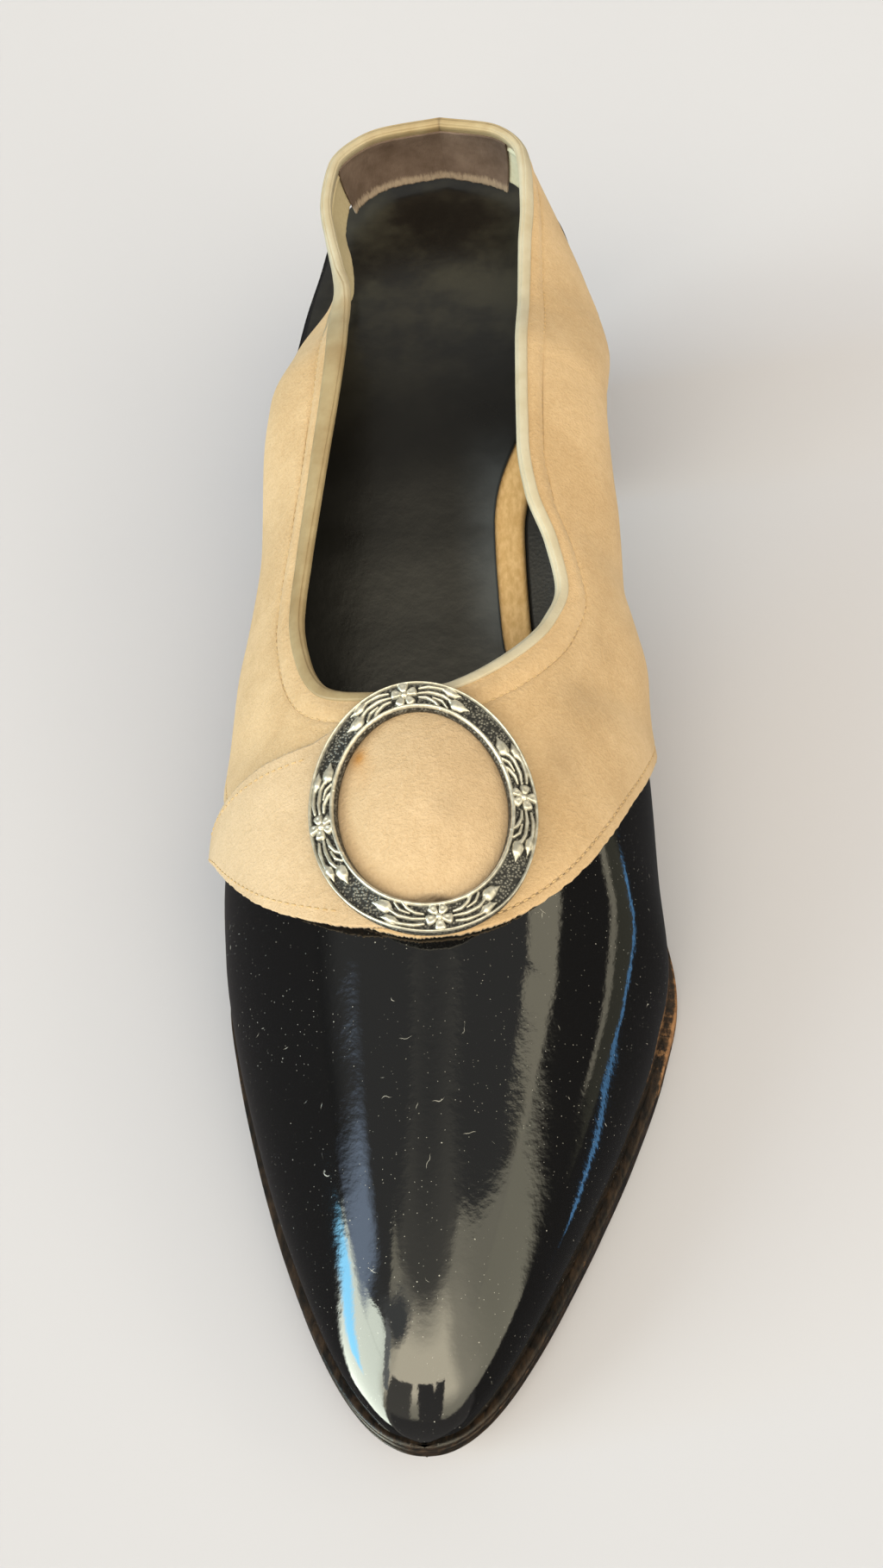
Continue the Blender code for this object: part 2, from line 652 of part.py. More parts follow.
def ring_loft(name, rings, finish, shoe):
    """Closed solid through a stack of matching rings, with a face on each end."""
    mesh = bpy.data.meshes.new(name)
    shape = bmesh.new()
    loops = []
    for ring in rings:
        corners = [shape.verts.new(corner) for corner in ring * MM]
        loops.append([shape.edges.new(pair) for pair in zip(corners, corners[1:] + corners[:1])])
    for lower, upper in zip(loops, loops[1:]):
        bmesh.ops.bridge_loops(shape, edges=lower + upper)
    for end in (loops[0], loops[-1]):
        bmesh.ops.triangle_fill(shape, edges=end, use_beauty=True)
    bmesh.ops.recalc_face_normals(shape, faces=shape.faces)
    shape.to_mesh(mesh)
    shape.free()
    piece = add_object(name, mesh, finish, shoe)
    piece.data.shade_smooth()
    piece.data.set_sharp_from_angle(angle=math.radians(40))
    return piece


def add_heel(shoe):
    """Covered heel under the seat, drawn in towards its foot, and the top piece that it stands on."""
    seat = seat_ring()
    foot = foot_ring(seat)
    seat_z = bottom("z", seat[:, 1]) - GAP
    rings = []
    for drop in np.linspace(0, 1, HEEL_RINGS):
        plan = mix(seat, foot, 1 - (1 - drop) ** HEEL_CURVE)
        rings.append(points(plan[:, 0], plan[:, 1], mix(seat_z, TOP_PIECE + GAP, drop)))
    ring_loft("heel", rings, "patent", shoe)
    slab = [points(foot[:, 0], foot[:, 1], z) for z in (TOP_PIECE, 0.0)]
    ring_loft("top_piece", slab, "top_piece_rubber", shoe)


def clear_scene():
    for old in list(bpy.data.objects):
        bpy.data.objects.remove(old, do_unlink=True)


def main():
    clear_scene()
    bpy.context.scene.collection.children.link(bpy.data.collections.new(NAME))
    shoe = bpy.data.objects.new("shoe", None)
    shoe.location = [shift * MM for shift in ORIGIN_SHIFT]
    bpy.data.collections[NAME].objects.link(shoe)
    bottom_pieces = (add_outsole, add_heel, add_insole, add_sock)
    upper_pieces = (add_upper, add_suede_band, add_binding, add_strap_tab, add_buckle)
    for add in bottom_pieces + upper_pieces:
        add(shoe)


main()
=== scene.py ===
"""Looks of the slingback court shoe: black patent vamp, sand suede band and sling, cream binding, silver buckle.

Sizes are millimetres in the shoe's own frame: toe to -Y, medial side to +X, floor at z = 0.
A surface is a function of two parameters, worked out on a grid. Layers of the upper all come from one last.
"""

import math

import bmesh
import bpy
import numpy as np
from mathutils import Matrix, Vector


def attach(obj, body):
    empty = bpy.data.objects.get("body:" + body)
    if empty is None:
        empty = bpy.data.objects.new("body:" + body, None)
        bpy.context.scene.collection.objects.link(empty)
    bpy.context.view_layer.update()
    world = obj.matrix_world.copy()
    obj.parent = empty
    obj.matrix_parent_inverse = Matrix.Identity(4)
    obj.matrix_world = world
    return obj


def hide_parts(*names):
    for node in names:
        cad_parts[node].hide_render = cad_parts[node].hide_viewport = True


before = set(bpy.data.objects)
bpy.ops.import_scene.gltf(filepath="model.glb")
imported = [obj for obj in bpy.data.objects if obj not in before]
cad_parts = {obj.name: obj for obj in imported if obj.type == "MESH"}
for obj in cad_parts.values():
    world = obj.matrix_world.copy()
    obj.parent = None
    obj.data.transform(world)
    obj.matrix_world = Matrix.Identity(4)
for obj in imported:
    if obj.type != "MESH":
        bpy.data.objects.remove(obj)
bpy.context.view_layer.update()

MM = 0.001

# Thicknesses, clearances and lifts of the layers, as in the solids.
SOLE = 3.5
INSOLE = 2.5
SOCK = 0.8
WALL = 1.3
SUEDE = 1.3
STRAP = 1.0
BUCKLE = 1.8
GAP = 0.3
EASE = 0.15
STRAP_EASE = 0.05
TOP_PIECE = 5.0
SUEDE_LIFT = WALL + GAP + EASE
STRAP_LIFT = SUEDE_LIFT + SUEDE + GAP + STRAP_EASE
BUCKLE_LIFT = STRAP_LIFT + STRAP + GAP + EASE

# Ends of the insole, the heel's breast and the sole's end, and the tables' origin in the shoe's own frame.
TOE_Y = -123.9
HEEL_Y = 121.8
BREAST_Y = 63.0
SOLE_END_Y = 61.8
ORIGIN_SHIFT = np.array([-0.16, 1.55, 0.0])
SIDES = {"lateral": -1, "medial": 1}

# Insole outline and its rise from the floor. margin: how far the outsole stands out past the insole.
BOTTOM_COLUMNS = ("y", "z", "lateral", "medial", "margin")
BOTTOM = (
    (-123.9, 8.6, 0.0, 0.0, 1.8),
    (-122.6, 8.4, 4.2, 4.1, 2.0),
    (-119.5, 7.9, 7.4, 7.1, 2.4),
    (-112.0, 6.9, 12.2, 11.8, 2.8),
    (-101.0, 5.6, 17.3, 17.2, 3.0),
    (-88.0, 4.5, 22.4, 23.0, 3.0),
    (-74.0, 3.8, 26.9, 28.6, 3.0),
    (-58.0, 3.8, 31.2, 33.8, 3.0),
    (-45.0, 3.8, 33.8, 36.2, 3.0),
    (-30.0, 4.5, 34.9, 34.4, 2.4),
    (-13.0, 7.8, 33.0, 28.0, 0.4),
    (4.0, 14.8, 29.6, 20.0, -0.6),
    (20.0, 23.8, 27.2, 15.2, -0.6),
    (36.0, 33.2, 26.6, 14.4, -0.6),
    (50.0, 40.2, 26.8, 18.2, -0.6),
    (66.0, 45.2, 28.2, 24.8, -0.6),
    (82.0, 47.8, 26.6, 26.2, -0.6),
    (96.0, 49.1, 24.2, 24.2, -0.6),
    (108.0, 50.1, 22.2, 21.4, -0.6),
    (116.0, 51.2, 16.6, 15.6, -0.6),
    (121.8, 52.2, 0.0, 0.0, -0.6),
)

# Inner face of the upper: widest half-widths, how high above the insole they lie, and the ridge's height.
LAST_COLUMNS = ("y", "lateral_belly", "medial_belly", "rise", "crown")
LAST = (
    (-123.9, 0.0, 0.0, 0.0, 8.6),
    (-122.6, 4.5, 4.4, 2.6, 13.4),
    (-119.5, 7.9, 7.6, 3.8, 17.6),
    (-112.0, 12.9, 12.5, 4.8, 22.2),
    (-101.0, 18.0, 17.9, 5.6, 26.8),
    (-88.0, 23.1, 23.7, 6.4, 31.4),
    (-74.0, 27.6, 29.3, 7.0, 36.2),
    (-58.0, 31.9, 34.4, 7.4, 42.0),
    (-45.0, 34.4, 36.6, 7.6, 46.6),
    (-30.0, 35.7, 35.6, 8.0, 51.0),
    (-13.0, 34.8, 34.8, 9.2, 54.8),
    (4.0, 32.2, 32.8, 10.6, 57.8),
    (20.0, 29.7, 30.0, 11.6, 60.2),
    (36.0, 28.5, 28.2, 11.4, 62.2),
    (50.0, 27.9, 28.4, 9.4, 63.8),
    (66.0, 27.6, 28.8, 7.0, 65.0),
    (121.8, 27.6, 28.8, 7.0, 66.0),
)
BELLY_SHARE = 0.3
LOW_ARC = math.radians(75)

# How far the wall's foot is lifted at the toe's tip, and how far back that fades.
TOE_LIFT = 0.9
TOE_LIFT_LENGTH = 6

# Ribs run from the suede's front edge back to the sling's middle. Ahead of the throat they end on the ridge.
RIDGE_COLUMNS = ("rib", "y")
RIDGE = ((0, -60.0), (3, -43.0), (5, -28.5), (6, -21.8))

# Opening of the upper: place and half-width of its edge at each rib, from the throat's middle backwards.
TOPLINE_COLUMNS = ("rib", "lateral_y", "lateral_x", "medial_y", "medial_x")
TOPLINE = (
    (6, -21.8, 0.0, -21.8, 0.0),
    (6.5, -22.2, 4.6, -21.3, 3.6),
    (7, -21.4, 9.4, -19.7, 6.8),
    (8, -18.6, 15.0, -13.5, 13.6),
    (9, -11.5, 18.8, -4.6, 19.1),
    (10, 0.0, 20.7, 3.8, 21.3),
    (11, 12.0, 19.9, 12.6, 19.8),
    (12, 23.0, 18.9, 21.5, 16.9),
    (13, 33.5, 18.0, 31.5, 15.8),
    (14, 44.0, 17.1, 42.5, 15.8),
    (15, 53.0, 16.5, 53.0, 15.8),
    (16, 60.0, 16.2, 60.0, 15.8),
    (17, 66.0, 16.0, 66.5, 15.8),
    (24, 66.0, 16.0, 66.5, 15.8),
)
THROAT_RIB = 6
QUARTER_RIB = 15
BACK_RIB = 24

# How far the patent wall stays below the topline, over how many ribs that comes in, and how late its ribs swing back.
WALL_TUCK = 0.012
WALL_TUCK_RIBS = 0.6
WALL_SWING = 3

# Lower edge of the patent wall at each rib, along the insole. The ribs ahead of it stand square to the shoe.
WALL_COLUMNS = ("rib", "low_y")
WALL_LOW = (
    (3, -43.0),
    (4, -37.6),
    (5, -32.4),
    (6, -27.4),
    (7, -22.0),
    (8, -16.0),
    (9, -9.0),
    (10, -0.5),
    (11, 9.0),
    (12, 19.0),
    (13, 30.0),
    (14, 41.0),
    (15, 51.5),
)

# Front and lower edge of the suede on the upper. rise: 0 at the insole, 0.3 at the belly, 1 at the ridge.
SUEDE_COLUMNS = ("rib", "lateral_y", "medial_y", "rise")
SUEDE_LOW = (
    (0, -60.0, -60.0, 1.0),
    (1, -59.5, -59.8, 0.96),
    (2, -58.5, -59.3, 0.92),
    (3, -57.2, -58.3, 0.88),
    (4, -55.6, -56.8, 0.84),
    (5, -53.2, -54.0, 0.79),
    (6, -48.5, -48.4, 0.72),
    (7, -40.0, -37.4, 0.62),
    (8, -27.5, -24.8, 0.515),
    (9, -13.0, -11.8, 0.385),
    (10, -1.0, -1.0, 0.22),
    (11, 8.0, 8.0, 0.03),
    (12, 18.0, 18.0, 0.03),
    (13, 29.0, 29.0, 0.03),
    (14, 41.0, 41.0, 0.03),
    (15, 52.0, 52.0, 0.05),
    (16, 60.5, 60.5, 0.14),
    (17, 67.5, 67.5, 0.20),
    (24, 67.5, 67.5, 0.20),
)

# The slack sling, from the quarter to its back: lower and upper edge of its inner face, and its bow.
SLING_COLUMNS = ("rib", "low_x", "low_y", "low_z", "top_x", "top_y", "top_z", "bow")
SLING = {
    "lateral": (
        (0, -28.0, 54.0, 43.6, -17.4, 53.5, 61.0, 3.0),
        (15, -28.0, 54.0, 43.6, -17.4, 53.5, 61.0, 3.0),
        (16, -28.4, 61.5, 46.8, -17.2, 60.0, 61.4, 2.2),
        (17, -26.6, 69.5, 49.8, -16.8, 66.0, 62.0, 1.4),
        (18, -20.6, 76.0, 52.6, -16.6, 71.5, 62.8, 0.8),
        (19, -16.6, 82.5, 55.2, -17.8, 78.5, 63.6, 0.5),
        (20, -17.2, 89.5, 56.8, -19.5, 86.5, 65.0, 0.5),
        (21, -18.8, 97.5, 57.8, -20.7, 94.5, 66.6, 0.6),
        (22, -18.4, 106.0, 58.2, -19.7, 103.5, 68.2, 0.7),
        (23, -11.4, 114.0, 58.4, -12.0, 111.2, 69.2, 0.7),
        (24, 0.0, 116.6, 58.4, 0.0, 113.3, 69.6, 0.7),
    ),
    "medial": (
        (0, 25.0, 54.0, 43.2, 16.4, 53.5, 61.2, 7.0),
        (15, 25.0, 54.0, 43.2, 16.4, 53.5, 61.2, 7.0),
        (16, 29.4, 61.0, 45.6, 16.4, 60.0, 61.6, 4.0),
        (17, 30.0, 68.0, 47.8, 16.4, 67.0, 62.2, 2.2),
        (18, 28.6, 75.5, 50.2, 16.4, 74.0, 63.0, 1.4),
        (19, 26.4, 83.0, 52.0, 16.4, 81.0, 64.2, 1.2),
        (20, 24.0, 91.0, 53.4, 16.6, 88.5, 65.6, 1.0),
        (21, 20.8, 99.0, 56.0, 16.3, 96.5, 67.2, 0.8),
        (22, 16.4, 107.0, 57.6, 15.2, 104.6, 68.4, 0.7),
        (23, 9.8, 113.0, 58.2, 10.4, 110.4, 69.3, 0.7),
        (24, 0.0, 116.6, 58.4, 0.0, 113.3, 69.6, 0.7),
    ),
}
SLING_BLEND = (15.0, 17.2)
SLING_MIDDLE = np.array([0.0, 82.0, 0.0])

# Strap under the buckle with its rounded tab. across: 0 at the ridge, 1 at the belly of the medial side.
STRAP_COLUMNS = ("across", "front_y", "back_y")
STRAP_ROWS = (
    (0.245, -42.0, -40.0),
    (0.22, -48.5, -33.5),
    (0.16, -53.5, -28.5),
    (0.08, -56.6, -25.4),
    (0.0, -58.2, -23.8),
    (-0.08, -58.6, -23.8),
    (-0.15, -58.2, -24.6),
    (-0.22, -57.2, -26.2),
    (-0.29, -55.6, -27.4),
    (-0.37, -53.4, -27.1),
    (-0.46, -50.1, -26.6),
    (-0.55, -45.6, -26.3),
    (-0.64, -40.0, -26.1),
    (-0.73, -34.2, -25.9),
    (-0.80, -30.6, -26.1),
    (-0.84, -28.6, -26.9),
)

# Height of the strap's dome inside the oval, and the raised cut edge at its front: at which share of the inner oval,
# how wide, where across the shoe, how long and how high.
DOME = 2.0
LIP_RADIUS = 0.92
LIP_WIDTH = 0.03
LIP_X = 3.4
LIP_LENGTH = 4.5
LIP = 0.25

# Oval buckle: middle, half-sizes across and along the bare vamp, lean, and its inner oval's share.
BUCKLE_X = 0.6
BUCKLE_Y = -40.8
BUCKLE_ACROSS = 15.1
BUCKLE_ALONG = 19.6
BUCKLE_LEAN = math.radians(8)
BUCKLE_INNER = 0.77

# Covered heel: its seat overhang, the outline of its foot, how its sides draw in, and how soft its corners are.
SEAT_MARGIN = 0.8
HEEL_FOOT_BACK = 113.5
HEEL_FOOT_FRONT = 79.0
HEEL_FOOT_HALF = 16.0
HEEL_FOOT_ROUND = 2.6
HEEL_CURVE = 1.7
HEEL_SOFT = 0.8

# How finely the surfaces are sampled.
TOE_STEPS = 110
WALL_RIB_STEPS = 120
WALL_ROWS = 56
RIB_STEPS = 289
HEIGHT_RIBS = 145
HEIGHT_ROWS = 25
STRAP_STEPS = 240
STRAP_SHARE_STEPS = 100
BUCKLE_STEPS = 1200
BUCKLE_TOP_ROWS = 60
SOLE_STATIONS = 170
SOLE_ROWS = 14
FOOTBED_STATIONS = 200
INSOLE_ROWS = 8
SOCK_ROWS = 16
SEAT_STEPS = 60
BREAST_STEPS = 30
HEEL_POINTS = 240
HEEL_RINGS = 40
GRIP_RIBS = 70
GRIP_ROWS = 40

# Small steps over which slopes are taken: along the shoe, up a wall, along the ribs, up the band, round an outline.
STEP_Y = 0.05
STEP_RISE = 0.001
STEP_RIB = 0.02
STEP_UP = 0.01
STEP_STATION = 1e-3

# The band's ribs draw together in a point at its front, so slopes are taken from a little behind it on.
FIRST_RIB = 0.05

# Points of a piece that lie this close are joined, and edges shorter than this are dissolved, in metres.
JOIN_WITHIN = 2e-6
DROP_BELOW = 1e-7


# Reading the tables.


def smooth_read(places, values, at):
    """Monotone cubic through (places, values), so flat stretches of a table stay flat."""
    places = np.asarray(places, float)
    values = np.asarray(values, float)
    at = np.clip(np.asarray(at, float), places[0], places[-1])
    step = np.diff(places)
    slope = np.diff(values) / step
    tangent = np.empty_like(values)
    tangent[0], tangent[-1] = slope[0], slope[-1]
    before, after = slope[:-1], slope[1:]
    same_way = before * after > 0
    weight_a = 2 * step[1:] + step[:-1]
    weight_b = step[1:] + 2 * step[:-1]
    safe_before = np.where(same_way, before, 1.0)
    safe_after = np.where(same_way, after, 1.0)
    mean = (weight_a + weight_b) / (weight_a / safe_before + weight_b / safe_after)
    tangent[1:-1] = np.where(same_way, mean, 0.0)
    k = np.clip(np.searchsorted(places, at, side="right") - 1, 0, len(step) - 1)
    t = (at - places[k]) / step[k]
    rest = 1 - t
    return (
        values[k] * (1 + 2 * t) * rest**2
        + tangent[k] * step[k] * t * rest**2
        + values[k + 1] * t**2 * (3 - 2 * t)
        - tangent[k + 1] * step[k] * t**2 * rest
    )


def column(table, columns, name):
    """One column of a table by its name."""
    return [row[columns.index(name)] for row in table]


def read(table, columns, name, at):
    """One column of a table, read at places of its first column."""
    return smooth_read(column(table, columns, columns[0]), column(table, columns, name), at)


def station_of(y):
    """Place along the insole from 0 at the toe to 1 at the heel, drawn out at its two round ends."""
    share = np.clip((np.asarray(y, float) - TOE_Y) / (HEEL_Y - TOE_Y), 0, 1)
    return np.arccos(1 - 2 * share) / math.pi


def y_of(station):
    """Place along the shoe of a station: the way back from station_of."""
    return TOE_Y + (HEEL_Y - TOE_Y) * (1 - np.cos(np.asarray(station) * math.pi)) / 2


def along_shoe(table, columns, name, y):
    """One column of a table whose rows are sections across the shoe."""
    return smooth_read(station_of(column(table, columns, "y")), column(table, columns, name), station_of(y))


def bottom(name, y):
    """Column of the insole's table at a place along the shoe."""
    return along_shoe(BOTTOM, BOTTOM_COLUMNS, name, y)


def last(name, y):
    """Column of the last's table at a place along the shoe."""
    return along_shoe(LAST, LAST_COLUMNS, name, y)


def points(x, y, z):
    """Grid of points from the grids of their three coordinates."""
    return np.stack(np.broadcast_arrays(x, y, z), -1)


def mix(a, b, t):
    """Even change from a at t = 0 to b at t = 1."""
    return a + (b - a) * t


def smoothstep(low, high, at):
    """0 below low, 1 above high, and a soft step between them. low may be the larger."""
    t = np.clip((at - low) / (high - low), 0, 1)
    return t * t * (3 - 2 * t)


def bell(at, middle, width):
    """Soft bump: 1 at the middle, a third at one width away."""
    return np.exp(-(((at - middle) / width) ** 2))


def unit(vectors):
    """Vectors of length 1 in the same directions."""
    return vectors / np.maximum(np.linalg.norm(vectors, axis=-1, keepdims=True), 1e-9)


def run_along(path):
    """Distance of each point of a path from its start, along the path."""
    return np.concatenate([[0], np.cumsum(np.linalg.norm(np.diff(path, axis=0), axis=-1))])


def read_run(at, run, rows):
    """Rows of values, read between their places along a run."""
    return np.stack([np.interp(at, run, values) for values in rows.T], -1)


# The last, and the layers that lie on it.


def last_point(side, y, rise):
    """Point of the upper's inner face: an arc from insole to belly, a quarter ellipse to the ridge."""
    foot_x = bottom(side, y) + GAP
    floor = bottom("z", y)
    belly_x = last(side + "_belly", y)
    belly_z = floor + last("rise", y)
    reach, height = belly_x - foot_x, np.maximum(belly_z - floor, 1e-6)
    toe_lift = TOE_LIFT * (1 - smoothstep(TOE_Y, TOE_Y + TOE_LIFT_LENGTH, y))
    foot_z = floor + GAP + toe_lift + WALL * reach / np.hypot(reach, height)
    low = LOW_ARC * (1 - np.clip(rise / BELLY_SHARE, 0, 1))
    low_x = foot_x + reach * (np.cos(low) - math.cos(LOW_ARC)) / (1 - math.cos(LOW_ARC))
    low_z = foot_z + (belly_z - foot_z) * (1 - np.sin(low) / math.sin(LOW_ARC))
    high = np.maximum(rise - BELLY_SHARE, 0) / (1 - BELLY_SHARE) * math.pi / 2
    high_x = belly_x * np.cos(high)
    high_z = belly_z + (last("crown", y) - belly_z) * np.sin(high)
    over = rise > BELLY_SHARE
    return points(SIDES[side] * np.where(over, high_x, low_x), y, np.where(over, high_z, low_z))


def lifted_point(side, y, rise, lift):
    """Point that lies outside the upper's inner face by a lift, square to it."""
    along = last_point(side, y + STEP_Y, rise) - last_point(side, y - STEP_Y, rise)
    upward = last_point(side, y, rise + STEP_RISE) - last_point(side, y, rise - STEP_RISE)
    outward = unit(np.cross(along, upward)) * SIDES[side]
    return last_point(side, y, rise) + outward * np.asarray(lift)[..., None]


def rise_at(side, y, x):
    """How far up its wall the upper is x wide of the ridge."""
    share = np.clip(x / np.maximum(last(side + "_belly", y), 1e-6), 0, 1)
    return BELLY_SHARE + (1 - BELLY_SHARE) * np.arccos(share) / (math.pi / 2)


def topline(side, rib):
    """Place along the shoe and up the wall of the upper's edge at a rib: the ridge, ahead of the throat."""
    ridge_y = read(RIDGE, RIDGE_COLUMNS, "y", rib)
    edge_y = read(TOPLINE, TOPLINE_COLUMNS, side + "_y", rib)
    y = np.where(rib < THROAT_RIB, ridge_y, edge_y)
    x = read(TOPLINE, TOPLINE_COLUMNS, side + "_x", rib)
    return y, rise_at(side, y, x)


def vamp_point(across, y, lift):
    """Point of the upper by its place across: 0 at the ridge, 1 and -1 at the bellies, more below them."""
    over = 1 - np.abs(across) * (1 - BELLY_SHARE)
    medial = lifted_point("medial", y, over, lift)
    lateral = lifted_point("lateral", y, over, lift)
    return np.where((across >= 0)[..., None], medial, lateral)


def across_at(x, y):
    """Place across the vamp of a point x wide of the ridge."""
    belly = np.where(x >= 0, last("medial_belly", y), last("lateral_belly", y))
    return np.arcsin(np.clip(x / belly, -1, 1)) / (math.pi / 2)


# Meshes from grids.


def grid_faces(rows, columns, start, flip, closed):
    """Quads of a grid of points, numbered from start. closed: whether each direction runs round to its start."""
    index = np.arange(rows * columns).reshape(rows, columns) + start
    if closed[0]:
        index = np.concatenate([index, index[:1]], 0)
    if closed[1]:
        index = np.concatenate([index, index[:, :1]], 1)
    quads = np.stack([index[:-1, :-1], index[1:, :-1], index[1:, 1:], index[:-1, 1:]], -1).reshape(-1, 4)
    return quads[:, ::-1] if flip else quads


class Patch:
    """One grid of points, which way its faces turn, whether it closes, and values that its finish reads."""

    def __init__(self, grid, flip=False, closed=(False, False), **fields):
        self.grid = grid
        self.flip = flip
        self.closed = closed
        self.fields = fields


def new_object(name, data):
    """An object that shows the data, placed in the scene."""
    made = bpy.data.objects.new(name, data)
    bpy.context.scene.collection.objects.link(made)
    return made


def add_piece(name, patches, finishes, replaced=None, wall=0.0, inside=0):
    """A piece of the shoe through its patches, joined where their points meet.
    """
    corners = (np.concatenate([p.grid.reshape(-1, 3) for p in patches]) + ORIGIN_SHIFT) * MM
    starts = np.cumsum([0] + [p.grid.shape[0] * p.grid.shape[1] for p in patches])
    faces = [grid_faces(*p.grid.shape[:2], s, p.flip, p.closed) for p, s in zip(patches, starts)]
    mesh = bpy.data.meshes.new(name)
    mesh.from_pydata(corners.tolist(), [], np.concatenate(faces).tolist())
    for field in patches[0].fields:
        values = np.concatenate([np.broadcast_to(p.fields[field], p.grid.shape[:2]).ravel() for p in patches])
        mesh.attributes.new(field, "FLOAT", "POINT").data.foreach_set("value", values.astype(np.float32))
    shape = bmesh.new()
    shape.from_mesh(mesh)
    bmesh.ops.remove_doubles(shape, verts=shape.verts, dist=JOIN_WITHIN)
    bmesh.ops.dissolve_degenerate(shape, edges=shape.edges, dist=DROP_BELOW)
    shape.to_mesh(mesh)
    shape.free()
    mesh.shade_smooth()
    piece = new_object(name, mesh)
    for finish in finishes:
        mesh.materials.append(finish)
    if wall:
        solidify = piece.modifiers.new("thickness", "SOLIDIFY")
        solidify.thickness = wall * MM
        solidify.offset = 1.0
        solidify.material_offset = inside
    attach(piece, "root")
    if replaced:
        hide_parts(replaced)
    return piece


# Shader maths as expressions.


class Wire:
    """An output of a node, so that maths on it reads as an expression and adds the nodes for it."""

    def __init__(self, paint, socket):
        self.paint = paint
        self.socket = socket

    def maths(self, operation, *values):
        """Result of one operation on values or wires."""
        return self.paint.node("ShaderNodeMath", {"operation": operation}, dict(enumerate(values)))

    def __add__(self, other):
        return self.maths("ADD", self, other)

    def __sub__(self, other):
        return self.maths("SUBTRACT", self, other)

    def __rsub__(self, other):
        return self.maths("SUBTRACT", other, self)

    def __mul__(self, other):
        return self.maths("MULTIPLY", self, other)

    __radd__ = __add__
    __rmul__ = __mul__

    def ramp(self, low, high):
        """0 below low, 1 above high, and a soft step between them. low may be the larger."""
        settings = {"interpolation_type": "SMOOTHSTEP"}
        return self.paint.node("ShaderNodeMapRange", settings, {"Value": self, "From Min": low, "From Max": high})

    def within(self, low, high, soft):
        """1 between low and high, fading out over a soft margin."""
        return self.ramp(low - soft, low + soft) * self.ramp(high + soft, high - soft)


class Paint:
    """A node tree, and short ways to add to it."""

    def __init__(self, tree):
        self.tree = tree

    def node(self, kind, settings=None, inputs=None, output=0):
        """Adds a node: its type, its settings, then the values or wires of its sockets. Gives one output."""
        made = self.tree.nodes.new(kind)
        for name, value in (settings or {}).items():
            setattr(made, name, value)
        for name, value in (inputs or {}).items():
            self.feed(made.inputs[name], value)
        return Wire(self, made.outputs[output])

    def feed(self, socket, value):
        """Gives a socket a wire or a value. A colour may leave out its alpha."""
        if isinstance(value, Wire):
            self.tree.links.new(value.socket, socket)
        elif socket.type == "RGBA" and len(value) == 3:
            socket.default_value = (*value, 1)
        else:
            socket.default_value = value

    def blend(self, factor, first, second):
        """Colour between two colours."""
        settings = {"data_type": "RGBA"}
        return self.node("ShaderNodeMix", settings, {0: factor, 6: first, 7: second}, 2)


class Finish(Paint):
    """A material with one main shader. Its constants are set on the shader's own sockets."""

    def __init__(self, name, **constants):
        self.material = bpy.data.materials.new(name)
        self.material.use_nodes = True
        super().__init__(self.material.node_tree)
        self.shader = self.tree.nodes["Principled BSDF"]
        for socket, value in constants.items():
            self.set(socket.replace("_", " "), value)

    def set(self, socket, value):
        """Gives a socket of the main shader a wire or a value."""
        self.feed(self.shader.inputs[socket], value)

    def place(self, scale=(1, 1, 1)):
        """Object coordinates, in millimetres, scaled."""
        here = self.node("ShaderNodeTexCoord", output=3)
        return self.node("ShaderNodeMapping", {}, {"Vector": here, "Scale": [share / MM for share in scale]})

    def field(self, name):
        """Value that a piece's patches carry under that name."""
        return self.node("ShaderNodeAttribute", {"attribute_name": name}, output=2)

    def noise(self, at, scale, detail=3.0, roughness=0.5, warp=0.0):
        """Cloudy pattern from 0 to 1, with that many waves in a millimetre."""
        inputs = {"Vector": at, "Scale": scale, "Detail": detail, "Roughness": roughness, "Distortion": warp}
        return self.node("ShaderNodeTexNoise", {}, inputs)

    def cells(self, at, scale, output=0):
        """Distance from the nearest of scattered places, or by output 1 a random colour for each of them."""
        return self.node("ShaderNodeTexVoronoi", {}, {"Vector": at, "Scale": scale}, output)

    def bump(self, height, depth, strength=1.0):
        """Relief that is only shaded: depth is in millimetres for a height of 1."""
        inputs = {"Height": height, "Distance": depth * MM, "Strength": strength}
        self.set("Normal", self.node("ShaderNodeBump", {}, inputs))


# Finishes.


# Lint on the patent: how far its dots are drawn out, how far their ground sways, and the bearings of its fibres.
LINT_STRETCH = (17, 1, 8)
LINT_SWAY = (2.0, 2.0, 2.0)
LINT_BEARINGS = (20, 80, 140)


